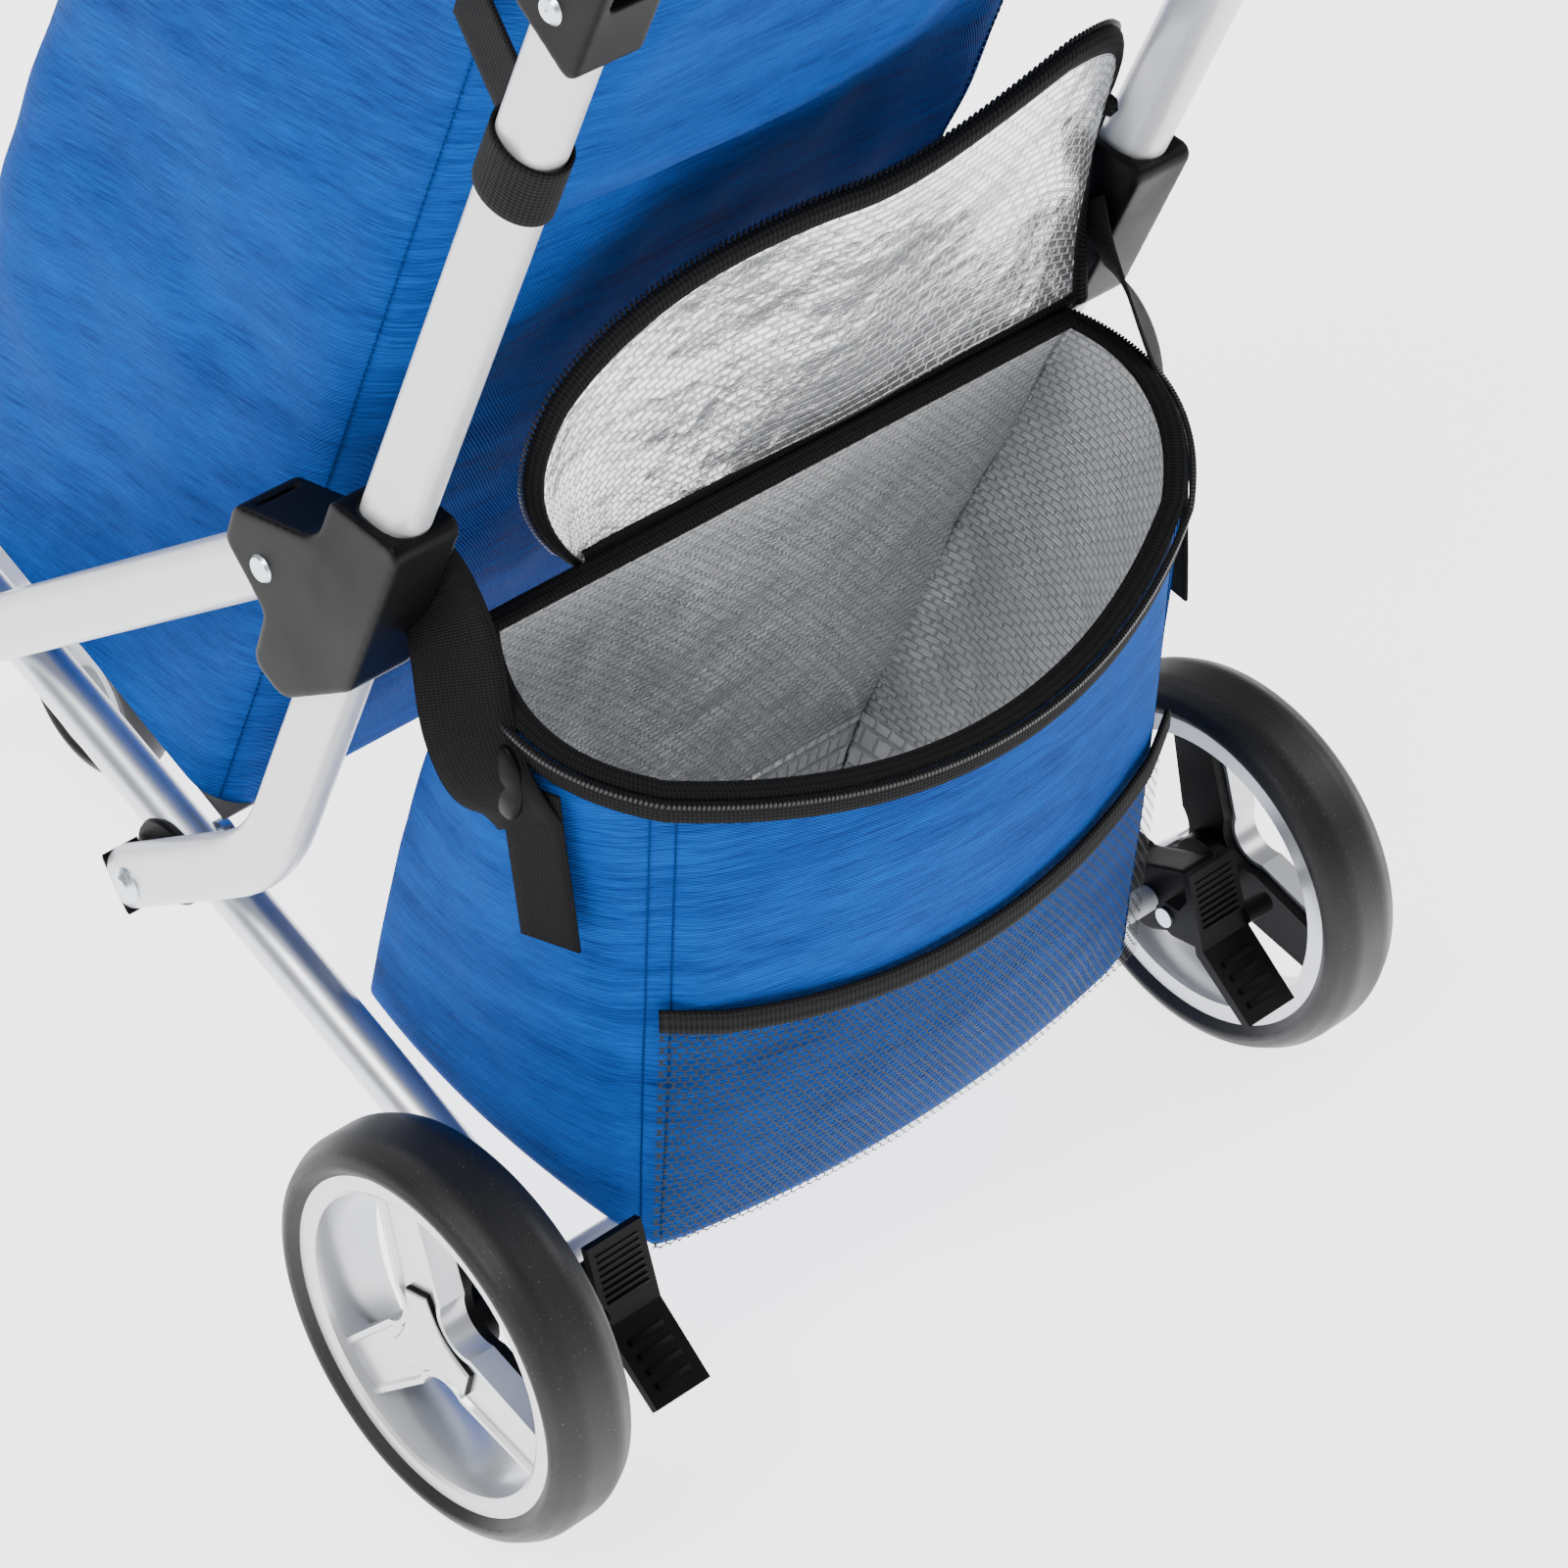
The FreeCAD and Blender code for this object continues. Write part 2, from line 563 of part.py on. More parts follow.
def wheel_cap(name, sign):
    """The faceted cap over the axle's end."""
    body = new_body("wheel_cap_" + name, x=f"{sign} * (wheel_side + 11)", **AT_AXLE)
    across = "cap_radius"
    face = outline(new_sketch(body, "YZ"), [
        (f"{across} * cos({angle})", f"{across} * sin({angle})") for angle in range(30, 360, 60)])
    pad(body, face, "8", both=False).Reversed = sign < 0
    cavity = ring(new_sketch(body, "YZ"), "0", "0", "axle_radius + 1")
    cut(body, cavity, "6", both=False, back=sign > 0)
    return body


def rear_axle():
    """The steel axle rod through both brackets and wheels."""
    body = new_body("rear_axle", **AT_AXLE)
    pad(body, ring(new_sketch(body, "YZ"), "0", "0", "axle_radius"), "axle_half * 2")
    return body


def axle_sleeve():
    """The tube on the axle between the brackets."""
    body = new_body("axle_sleeve", **AT_AXLE)
    pad(body, ring(new_sketch(body, "YZ"), "0", "0", "sleeve_radius"),
        "(platform_side + platform_tube) * 2")
    cut(body, ring(new_sketch(body, "YZ"), "0", "0", "axle_radius"), "platform_side * 3")
    return body


# ---------------------------------------------------------------- front leg and caster
def front_leg():
    """The U-shaped leg: both struts and the front bar in one bent tube."""
    body = new_body("front_leg", y=HUB_Y, z=HUB_Z, turn="-leg_drop")
    path = outline(new_sketch(body, "XY"), [
        ("-frame_side", "-leg_top"), ("-frame_side", "leg_length", "leg_corner"),
        ("frame_side", "leg_length", "leg_corner"), ("frame_side", "-leg_top")], closed=False)
    section = new_sketch(body, "XZ", "leg_top")
    for shrink in ("0", "tube_wall"):
        oval(section, "-frame_side", "0", "tube_wide", "tube_deep", shrink)
    bent_tube(body, path, section)
    drilled(body, "0", "0", "bolt_radius + fit", "frame_side * 2 + 60")
    drilled(body, "leg_run", "0", "bolt_radius", "frame_side * 2 + 60")
    return body


LEG_BAR = (f"{HUB_Y} + leg_length * cos(leg_drop)", f"{HUB_Z} - leg_length * sin(leg_drop)")


def leg_bolt(name, sign):
    """The leg's pivot bolt with its shoulder, ending just short of the platform tube."""
    inner = "platform_side + platform_tube + gap + 0.2"
    return turned("leg_bolt_" + name, [
        (f"{sign} * (frame_side + tube_wide / 2 + 4)", "0"),
        (f"{sign} * (frame_side + tube_wide / 2 + 4)", "head_radius - 4"),
        (f"{sign} * (frame_side + tube_wide / 2 + 1)", "head_radius"),
        (f"{sign} * (frame_side + tube_wide / 2)", "head_radius"),
        (f"{sign} * (frame_side + tube_wide / 2)", "bolt_radius"),
        (f"{sign} * (frame_side - tube_wide / 2)", "bolt_radius"),
        (f"{sign} * (frame_side - tube_wide / 2)", "12"),
        (f"{sign} * ({inner})", "12"), (f"{sign} * ({inner})", "0")],
        y=f"{HUB_Y} + leg_run * cos(leg_drop)", z=f"{HUB_Z} - leg_run * sin(leg_drop)")


def caster_housing():
    """The moulded clamp on the front bar that carries the caster's stem."""
    body = new_body("caster_housing", y=LEG_BAR[0], z=LEG_BAR[1])
    side = outline(new_sketch(body, "YZ"), [
        ("-22", "-32", "4"), ("22", "-32", "4"), ("24.5", "4", "10"), ("12", "25", "10"),
        ("-14", "25", "10"), ("-24.5", "2", "10")])
    pad(body, side, "46")
    bore = oval(new_sketch(body, "YZ", turn="-leg_drop"), "0", "0", "tube_wide", "tube_deep")
    cut(body, bore, "60")
    stem = ring(new_sketch(body, "XY", "-40"), "0", "0", "stem_radius + fit")
    cut(body, stem, "21", both=False, back=True)
    return body


def caster_fork():
    """The block between the two front wheels, with the stem that swivels in the housing."""
    y, z = f"{LEG_BAR[0]}", "caster_radius"
    body = new_body("caster_fork", y=y, z=z)
    top = f"({LEG_BAR[1]} - caster_radius - 32.8)"
    side = outline(new_sketch(body, "YZ"), [
        ("-trail - 11", "-8", "6"), ("-trail + 4", "-13", "8"), ("-2", "6", "12"),
        ("21", f"{top} - 4", "3"), ("20", top, "2"), ("-22", top, "3"),
        ("-trail - 12", "12", "8")])
    pad(body, side, "fork_half * 2")
    stem = ring(new_sketch(body, "XY", top), "0", "0", "stem_radius")
    pad(body, stem, "12", both=False)
    drilled(body, "-trail", "0", "caster_axle")
    return body


def caster_axle():
    """The pin through the fork that both front wheels turn on."""
    body = new_body("caster_axle", y=f"{LEG_BAR[0]} - trail", z="caster_radius")
    pad(body, ring(new_sketch(body, "YZ"), "0", "0", "caster_axle"),
        "(caster_side + caster_width / 2 - 2) * 2")
    return body


def caster_rim(name, sign):
    """A front wheel's moulded centre."""
    side = f"{sign} * caster_side"
    return turned("caster_rim_" + name, [
        ("-13", "caster_axle + fit"), ("10", "caster_axle + fit"), ("10", "12"), ("4", "14"),
        ("4", "28"), ("12", "30"), ("12", "36"), ("-12", "36"), ("-12", "30"), ("-4", "28"),
        ("-4", "14"), ("-13", "12")] if sign > 0 else [
        ("13", "caster_axle + fit"), ("-10", "caster_axle + fit"), ("-10", "12"), ("-4", "14"),
        ("-4", "28"), ("-12", "30"), ("-12", "36"), ("12", "36"), ("12", "30"), ("4", "28"),
        ("4", "14"), ("13", "12")],
        x=side, y=f"{LEG_BAR[0]} - trail", z="caster_radius")


# ---------------------------------------------------------------- main bag
def bag_outline(body, shrink, away):
    """The bag's plan: a rectangle with rounded corners."""
    half = f"(bag_half - ({shrink}))"
    back, front = f"(-bag_back + ({shrink}))", f"(bag_front - ({shrink}))"
    radius = f"bag_corner - ({shrink})"
    return outline(new_sketch(body, "XY", away), [
        (f"-{half}", back, radius), (half, back, radius), (half, front, radius),
        (f"-{half}", front, radius)])


def main_bag():
    """The main bag: an open-topped fabric box that leans with the side tubes."""
    body = new_body("main_bag", turn="lean", **AT_PIVOT)
    pad(body, bag_outline(body, "0", "bag_low"), "bag_high - bag_low", both=False)
    cut(body, bag_outline(body, "bag_wall", "bag_low + bag_wall"), "bag_high - bag_low",
        both=False, back=True)
    return body


def base_board():
    """The stiff board in the bottom of the main bag."""
    body = new_body("base_board", turn="lean", **AT_PIVOT)
    pad(body, bag_outline(body, "bag_wall + 3", "bag_low + bag_wall"), "4", both=False)
    return body


def rear_pocket():
    """The flat zipped pocket on the main bag's back."""
    body = new_body("rear_pocket", turn="lean", **AT_PIVOT)
    pad(body, outline(new_sketch(body, "XY", "bag_high - 178"), [
        ("-130", "-bag_back - 10", "6"), ("130", "-bag_back - 10", "6"),
        ("130", "-bag_back - 0.1"), ("-130", "-bag_back - 0.1")]), "158", both=False)
    return body


def bag_lid():
    """The flap over the main bag, with a skirt down the front."""
    body = new_body("bag_lid", turn="lean", **AT_PIVOT)
    side = outline(new_sketch(body, "YZ"), [
        ("-bag_back", "bag_high + 1"), ("bag_front + 1", "bag_high + 1"),
        ("bag_front + 1", "bag_high - 60"), ("bag_front + 5", "bag_high - 60"),
        ("bag_front + 5", "bag_high + 5", "3"), ("-bag_back", "bag_high + 5")])
    pad(body, side, "bag_half * 2 + 4")
    return body


def bag_hanger(name, sign):
    """The webbing loop that hangs the main bag from a side tube."""
    body = new_body("bag_hanger_" + name, turn="lean", **AT_PIVOT)
    middle = f"{sign} * frame_side"
    loop = oval(new_sketch(body, "XY", "bag_high - 34"), middle, "-bend_back",
                "tube_wide + 2 * gap + 4", "tube_deep + 2 * gap + 4")
    pad(body, loop, "30", both=False)
    strip = outline(new_sketch(body, "XY", "bag_high - 34"), [
        (f"{sign} * (bag_half + 0.3)", "20"), (f"{sign} * (bag_half + 2.3)", "20"),
        (f"{sign} * (frame_side - 6)", "-bend_back + 15"),
        (f"{sign} * (frame_side - 10)", "-bend_back + 12"),
        (f"{sign} * (bag_half + 0.3)", "10")])
    pad(body, strip, "30", both=False)
    bore = oval(new_sketch(body, "XY", "bag_high - 60"), middle, "-bend_back",
                "tube_wide + 2 * gap", "tube_deep + 2 * gap")
    cut(body, bore, "80", both=False, back=True)
    return body


# ---------------------------------------------------------------- cooler bag
def plane_point(x, y, level, slope, lift=0.0):
    return V(x, y, level + slope * y + lift)


def d_wire(half_back, back, half_side, middle, half_seam, seam, rear, level, slope, lift=0.0):
    """A D-shaped outline in a sloping plane: straight back, bowed sides and rear."""
    def at(x, y):
        return plane_point(x, y, level, slope, lift)
    edges = [
        Part.LineSegment(at(-half_back, back), at(half_back, back)),
        Part.Arc(at(half_back, back), at(half_side, middle), at(half_seam, seam)),
        Part.Arc(at(half_seam, seam), at(0, rear), at(-half_seam, seam)),
        Part.Arc(at(-half_seam, seam), at(-half_side, middle), at(-half_back, back))]
    return Part.Wire([edge.toShape() for edge in edges])


def floor_level():
    return value("floor_z - floor_slope * floor_y")


def rim_level():
    return value("rim_hinge_z - rim_slope * rim_hinge_y")


def cooler_section(share, grow=0.0, lift=0.0):
    """The cooler's outline at a share of its height, from the floor (0) to the rim (1)."""
    low = (156, 162, 162, 70, 150, -26, -46)
    high = (172, value("rim_hinge_y"), 186, 2, 152, -44, -86)
    size = [a + (b - a) * share for a, b in zip(low, high)]
    away = (grow, grow, grow, 0, grow, -grow, -grow)
    size = [a + b for a, b in zip(size, away)]
    level = floor_level() + (rim_level() - floor_level()) * share
    slope = value("floor_slope") + (value("rim_slope") - value("floor_slope")) * share
    return d_wire(*size, level, slope, lift)


def cooler_bag():
    """The insulated bag: a D-shaped tub, open at its sloping rim."""
    wall = value("cooler_wall")
    outer = Part.makeLoft([cooler_section(0), cooler_section(1)], True, True)
    inner = Part.makeLoft([cooler_section(0, -wall, wall), cooler_section(1, -wall, 1)],
                          True, True)
    return freeform("cooler_bag", outer.cut(inner))


def mesh_pocket():
    """The open net pocket that lies on the cooler's rear panel."""
    skins = [Part.makeLoft([cooler_section(0, grow), cooler_section(1, grow)], True, True)
             for grow in (2.0, 0.4)]
    window = Part.makeBox(300, 80, 160, V(-150, -95, 112))
    return freeform("mesh_pocket", skins[0].cut(skins[1]).common(window))


def cooler_lid():
    """The zipped lid, standing open against the main bag."""
    thick = value("lid_thick")
    slope = math.atan(value("rim_slope"))
    normal = V(0, -math.sin(slope), math.cos(slope))
    face = Part.Face(cooler_section(1, 0.0, 0.6))
    panel = face.extrude(normal * thick)
    hinge = V(0, value("rim_hinge_y"), value("rim_hinge_z"))
    panel.rotate(hinge, V(1, 0, 0), -value("lid_open"))
    return freeform("cooler_lid", panel)


def cooler_strap(name, sign):
    """The webbing from beside the hub down to the cooler's side, with its loose tail."""
    inner = 187.5 * sign
    points = [(96, 452), (70, 478), (30, 452), (-6, 398), (-12, 300), (20, 316), (28, 392),
              (60, 430)]
    wire = Part.makePolygon([V(inner, y, z) for y, z in points + points[:1]])
    return freeform("cooler_strap_" + name, Part.Face(wire).extrude(V(2 * sign, 0, 0)))


def strap_snap(name, sign):
    """The oval side-release snap on the strap."""
    y, z = "-axle_setback + 8", "372"
    body = new_body("strap_snap_" + name, x=f"{sign} * 192.5", y=y, z=z)
    pad(body, outline(new_sketch(body, "YZ"), [
        ("-9", "-20", "8.5"), ("9", "-20", "8.5"), ("9", "20", "8.5"), ("-9", "20", "8.5")]), "6")
    return body


# ---------------------------------------------------------------- assembly
pieces = [handle_tube(), handle_grip(), platform_tube(), rear_axle(), axle_sleeve(), front_leg(),
          caster_housing(), caster_fork(), caster_axle(), main_bag(), base_board(),
          rear_pocket(), bag_lid(), cooler_bag(), mesh_pocket(), cooler_lid()]
for side, sign in SIDES:
    for make in (side_tube, top_joint, handle_button, hub, release_button, rear_bracket,
                 brake_pedal, rim, wheel_cap, caster_rim, bag_hanger, cooler_strap, strap_snap):
        pieces.append(make(side, sign))
    pieces.append(tyre("wheel_tyre_" + side, "wheel_radius", "rim_radius", "wheel_width",
                       x=f"{sign} * wheel_side", **AT_AXLE))
    pieces.append(tyre("caster_tyre_" + side, "caster_radius", "36", "caster_width",
                       x=f"{sign} * caster_side", y=f"{LEG_BAR[0]} - trail",
                       z="caster_radius"))
for make in (foot_plug, pivot_bolt, pivot_spacer, joint_screw, handle_pin, hub_rivet,
             bracket_rivet, leg_pivot_nut, pedal_pin, leg_bolt):
    both = doc.addObject("Part::Compound", make.__name__ + "s")
    both.Label = make.__name__ + "s"
    both.Links = [make(side, sign) for side, sign in SIDES]
    pieces.append(both)
doc.recompute()

# ---------------------------------------------------------------- checks and export
for thing in doc.Objects:
    if {"Invalid", "Error"} & set(thing.State):
        raise RuntimeError(f"{thing.Label}: {thing.State}")
os.makedirs("parts", exist_ok=True)
for piece in pieces:
    shape = piece.Shape
    if shape.isNull() or not shape.isValid() or not shape.Solids:
        raise RuntimeError(f"{piece.Label}: no valid solid")
    shape.exportStep(f"parts/{piece.Label}.step")
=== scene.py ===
import math

import bmesh
import bpy
from mathutils import Matrix, Vector, noise


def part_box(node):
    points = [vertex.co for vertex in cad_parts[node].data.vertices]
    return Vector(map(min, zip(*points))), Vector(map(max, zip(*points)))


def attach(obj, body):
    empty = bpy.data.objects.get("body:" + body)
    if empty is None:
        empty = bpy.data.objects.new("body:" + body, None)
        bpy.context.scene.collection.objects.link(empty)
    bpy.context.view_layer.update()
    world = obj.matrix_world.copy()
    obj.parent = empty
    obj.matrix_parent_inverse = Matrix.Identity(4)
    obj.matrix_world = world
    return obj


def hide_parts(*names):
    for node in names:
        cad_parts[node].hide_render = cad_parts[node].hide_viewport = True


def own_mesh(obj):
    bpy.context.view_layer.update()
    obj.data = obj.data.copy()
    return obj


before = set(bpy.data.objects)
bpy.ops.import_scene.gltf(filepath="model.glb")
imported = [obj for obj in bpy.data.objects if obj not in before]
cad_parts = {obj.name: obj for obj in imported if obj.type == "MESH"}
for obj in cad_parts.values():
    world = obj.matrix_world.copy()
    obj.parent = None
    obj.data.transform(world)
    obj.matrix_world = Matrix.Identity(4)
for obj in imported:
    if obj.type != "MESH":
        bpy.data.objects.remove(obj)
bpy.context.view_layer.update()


# ---- Side tubes, platform tube, front leg and handle -------------------------------------
# Drawn oval and round tubes, bent cold and powder coated in satin silver. The platform tube
# is bare anodised metal, a little darker, because the bag's base rubs on it.
class Signal:
    """One output of a shader node, so that maths on it reads as an expression."""

    def __init__(self, finish, socket):
        self.finish, self.socket = finish, socket

    def maths(self, operation, *others, swapped=False):
        values = (*others, self) if swapped else (self, *others)
        return self.finish.node("ShaderNodeMath", {"operation": operation}, *values)

    def __add__(self, other):
        return self.maths("ADD", other)

    def __mul__(self, other):
        return self.maths("MULTIPLY", other)

    def __sub__(self, other):
        return self.maths("SUBTRACT", other)

    def __rsub__(self, other):
        return self.maths("SUBTRACT", other, swapped=True)

    def __truediv__(self, other):
        return self.maths("DIVIDE", other)

    def __mod__(self, other):
        return self.maths("FLOORED_MODULO", other)

    def __lt__(self, other):
        return self.maths("LESS_THAN", other)

    def __gt__(self, other):
        return self.maths("GREATER_THAN", other)

    def __abs__(self):
        return self.maths("ABSOLUTE")

    __radd__, __rmul__ = __add__, __mul__


class Finish:
    """A material on one Principled shader."""

    def __init__(self, name, color, roughness, metallic=0.0, coat=0.0, sheen=0.0,
                 gloss=0.5):
        self.material = bpy.data.materials.new(name)
        self.material.use_nodes = True
        self.tree = self.material.node_tree
        self.shader = self.tree.nodes["Principled BSDF"]
        self.shader.inputs["Base Color"].default_value = (*color, 1.0)
        self.shader.inputs["Roughness"].default_value = roughness
        self.shader.inputs["Metallic"].default_value = metallic
        self.shader.inputs["Coat Weight"].default_value = coat
        self.shader.inputs["Sheen Weight"].default_value = sheen
        self.shader.inputs["Specular IOR Level"].default_value = gloss

    def node(self, kind, settings, *values, out=0, **named):
        """A node of this kind: its settings, then the values or links of its sockets."""
        made = self.tree.nodes.new(kind)
        for key, setting in settings.items():
            if key == "stops":
                for stop, (place, color) in zip(made.color_ramp.elements, setting):
                    stop.position, stop.color = place, (*color, 1.0)
            else:
                setattr(made, key, setting)
        for key, entry in (*enumerate(values), *named.items()):
            entrance = made.inputs[key.replace("_", " ") if isinstance(key, str) else key]
            if isinstance(entry, Signal):
                self.tree.links.new(entry.socket, entrance)
            else:
                entrance.default_value = entry
        return Signal(self, made.outputs[out])

    def place(self, source="Object", stretch=(1, 1, 1), turn=(0, 0, 0)):
        where = self.node("ShaderNodeTexCoord", {}, out=source)
        return self.node("ShaderNodeMapping", {}, where, Rotation=turn, Scale=stretch)

    def grain(self, where, scale, detail=2.0, rough=0.5):
        return self.node("ShaderNodeTexNoise", {}, Vector=where, Scale=scale, Detail=detail,
                         Roughness=rough)

    def ramp(self, value, low, high):
        """A colour between two, by the value."""
        return self.node("ShaderNodeValToRGB", {"stops": ((0.0, low), (1.0, high))}, value)

    def spread(self, value, low, high, to_low=0.0, to_high=1.0):
        return self.node("ShaderNodeMapRange", {}, value, low, high, to_low, to_high)

    def feed(self, **sockets):
        for name, signal in sockets.items():
            self.tree.links.new(signal.socket, self.shader.inputs[name.replace("_", " ")])
        return self

    def raised(self, height, depth, strength=1.0):
        """Relief of this depth in metres."""
        bump = self.node("ShaderNodeBump", {}, Strength=strength, Distance=depth,
                         Height=height)
        return self.feed(Normal=bump)


def paint(finish, *nodes):
    """Give carried-over parts their finish."""
    for name in nodes:
        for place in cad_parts[name].material_slots:
            place.material = finish.material


coat = Finish("silver_coat", (0.70, 0.71, 0.73), 0.36, metallic=0.35, coat=0.1)
cloud = coat.grain(coat.place(), 9.0, 4.0)
coat.feed(Base_Color=coat.ramp(cloud, (0.60, 0.61, 0.63), (0.68, 0.69, 0.71)),
          Roughness=coat.spread(coat.grain(coat.place(), 60.0, 5.0), 0.3, 0.7, 0.27, 0.40))
coat.raised(coat.grain(coat.place(), 1400.0, 1.0), 0.00002, 0.6)
paint(coat, "side_tube_left", "side_tube_right", "front_leg", "handle_tube", "axle_sleeve")

anodised = Finish("anodised", (0.62, 0.64, 0.68), 0.28, metallic=0.9)
rub = anodised.grain(anodised.place(stretch=(1, 3, 3)), 12.0, 2.0)
anodised.feed(Base_Color=anodised.ramp(rub, (0.56, 0.58, 0.61), (0.64, 0.66, 0.69)),
              Roughness=anodised.spread(rub, 0.3, 0.7, 0.30, 0.36))
paint(anodised, "platform_tube")


# ---- Bolts, rivets, pins and axles -------------------------------------------------------
# Zinc-plated steel, pressed or screwed in. The plating has a cold blue cast and fine marks
# from the tools that set it.
zinc = Finish("zinc", (0.60, 0.66, 0.72), 0.3, metallic=1.0)
marks = zinc.grain(zinc.place(stretch=(6, 1, 1)), 400.0, 4.0)
zinc.feed(Base_Color=zinc.ramp(marks, (0.50, 0.56, 0.62), (0.70, 0.75, 0.80)),
          Roughness=zinc.spread(marks, 0.3, 0.7, 0.22, 0.42))
paint(zinc, "pivot_bolts", "joint_screws", "handle_pins", "hub_rivets", "bracket_rivets",
      "leg_pivot_nuts", "pedal_pins", "leg_bolts", "rear_axle", "caster_axle")


# ---- Joints, hubs, brackets and caster body ----------------------------------------------
# Injection-moulded black nylon with a fine spark-eroded grain, screwed or riveted to the
# tubes.
nylon = Finish("black_nylon", (0.003, 0.003, 0.004), 0.42, gloss=0.08)
shade = nylon.grain(nylon.place(), 22.0, 3.0)
nylon.feed(Base_Color=nylon.ramp(shade, (0.002, 0.002, 0.002), (0.004, 0.004, 0.005)),
           Roughness=nylon.spread(shade, 0.3, 0.7, 0.36, 0.52))
nylon.raised(nylon.grain(nylon.place(), 1800.0, 2.0), 0.00003, 0.8)
paint(nylon, "pivot_spacers", "foot_plugs", "handle_button_left", "handle_button_right")


def add_piece(name, shape, finish, body, *stands_for, smooth=math.radians(35)):
    """A finished bmesh as a piece that rides on a body."""
    mesh = bpy.data.meshes.new(name)
    shape.to_mesh(mesh)
    shape.free()
    piece = bpy.data.objects.new(name, mesh)
    bpy.context.scene.collection.objects.link(piece)
    mesh.materials.append(finish.material)
    mesh.shade_smooth()
    if smooth:
        mesh.set_sharp_from_angle(angle=smooth)
    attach(piece, body)
    if stands_for:
        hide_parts(*stands_for)
    return piece


def moulded(node, body, grain=0.0011, rounds=7):
    """The same moulding with the soft corners that its tool gives it."""
    copy = bmesh.new()
    copy.from_mesh(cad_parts[node].data)
    bmesh.ops.remove_doubles(copy, verts=copy.verts, dist=0.00001)
    piece = add_piece(node + "_moulding", copy, nylon, body, node, smooth=0)
    remesh = piece.modifiers.new("skin", "REMESH")
    remesh.mode, remesh.voxel_size, remesh.use_smooth_shade = "VOXEL", grain, True
    soft = piece.modifiers.new("soft", "SMOOTH")
    soft.factor, soft.iterations = 0.5, rounds
    bpy.context.view_layer.update()
    made = bpy.data.meshes.new_from_object(piece.evaluated_get(
        bpy.context.evaluated_depsgraph_get()))
    piece.modifiers.clear()
    piece.data = made
    return piece


for node, body in (("hub_left", "sliders"), ("hub_right", "sliders"),
                   ("top_joint_left", "frame"), ("top_joint_right", "frame"),
                   ("rear_bracket_left", "platform"), ("rear_bracket_right", "platform"),
                   ("caster_housing", "front_leg"), ("caster_fork", "caster_fork")):
    moulded(node, body, rounds=22 if node.startswith("hub") else 7)

signal_red = Finish("red_button", (0.45, 0.01, 0.01), 0.35)
tint = signal_red.grain(signal_red.place(), 300.0)
signal_red.feed(Base_Color=signal_red.ramp(tint, (0.38, 0.008, 0.008), (0.55, 0.015, 0.012)))
paint(signal_red, "release_button_left", "release_button_right")


# ---- Handle grip -------------------------------------------------------------------------
# A black foam sleeve pushed over the bar, open-celled and dull.
foam = Finish("foam", (0.02, 0.02, 0.021), 0.9)
cells = foam.node("ShaderNodeTexVoronoi", {}, Vector=foam.place(), Scale=900.0)
foam.feed(Base_Color=foam.ramp(cells, (0.012, 0.012, 0.013), (0.035, 0.035, 0.037)))
foam.raised(cells, 0.0003, 0.7)
paint(foam, "handle_grip")


# ---- Tyres -------------------------------------------------------------------------------
# Solid black rubber moulded on the rims, with road dust in the tread.
# The two on the caster are of the same rubber.
rubber = Finish("tyre_rubber", (0.008, 0.008, 0.008), 0.5, gloss=0.32)
dust = rubber.grain(rubber.place(), 900.0, 1.0)
speck = dust > 0.72
smear = rubber.grain(rubber.place(), 16.0, 5.0)
dull = rubber.ramp(smear, (0.004, 0.004, 0.005), (0.012, 0.012, 0.012))
rubber.feed(
    Base_Color=rubber.node("ShaderNodeMixRGB", {}, speck * 0.5, dull,
                           (0.09, 0.085, 0.08, 1.0)),
    Roughness=rubber.spread(smear, 0.3, 0.7, 0.38, 0.6))
rubber.raised(rubber.grain(rubber.place(), 500.0, 3.0), 0.0001, 0.5)
paint(rubber, "wheel_tyre_left", "wheel_tyre_right", "caster_tyre_left", "caster_tyre_right")


# ---- Rear wheels -------------------------------------------------------------------------
# Moulded rims painted silver: an outer lip, a deep barrel, three wide spokes with raised
# borders and black nylon plates on their backs that darken the wheel's inside, and a
# faceted cap over the axle's end with a black ring round it, painted shade for the gap.
SIDES = (("left", -1), ("right", 1))
silver = Finish("silver_moulding", (0.58, 0.59, 0.61), 0.3, metallic=0.75, coat=0.2)
flake = silver.grain(silver.place(), 30.0, 6.0)
silver.feed(Base_Color=silver.ramp(flake, (0.56, 0.57, 0.59), (0.61, 0.62, 0.64)),
            Roughness=silver.spread(flake, 0.3, 0.7, 0.29, 0.33))
silver.raised(silver.grain(silver.place(), 2200.0, 1.0), 0.00001, 0.5)


def spun(shape, profile, centre, steps=96):
    """A closed profile of (along X, radius) turned about X."""
    points = [shape.verts.new(centre + Vector((x, 0, r))) for x, r in profile]
    edges = [shape.edges.new((a, b)) for a, b in zip(points, points[1:] + points[:1])]
    bmesh.ops.spin(shape, geom=points + edges, cent=centre, axis=(1, 0, 0),
                   angle=math.tau, steps=steps, use_merge=True)


def third(points, turn):
    """One third of the wheel's face, turned to its place."""
    return [(y * math.cos(turn) - z * math.sin(turn), y * math.sin(turn) + z * math.cos(turn))
            for y, z in points]


def window(arm, corner, edge, steps=16):
    """The inner edge of the opening between two arms, from one arm round to the next."""
    middle = (arm + corner) / math.sin(math.pi / 3)
    bend = [(corner * math.sin(a), middle - corner * math.cos(a)) for a in (
        math.pi / 3 * step / steps for step in range(-steps, steps + 1))]
    run = math.sqrt(edge ** 2 - arm ** 2)
    far = Vector((run * math.sin(math.pi / 3) - arm / 2,
                  run / 2 + arm * math.sin(math.pi / 3)))
    side = [tuple(Vector(bend[-1]).lerp(far, t / 6)) for t in range(1, 7)]
    return [(-y, z) for y, z in reversed(side)] + bend + side


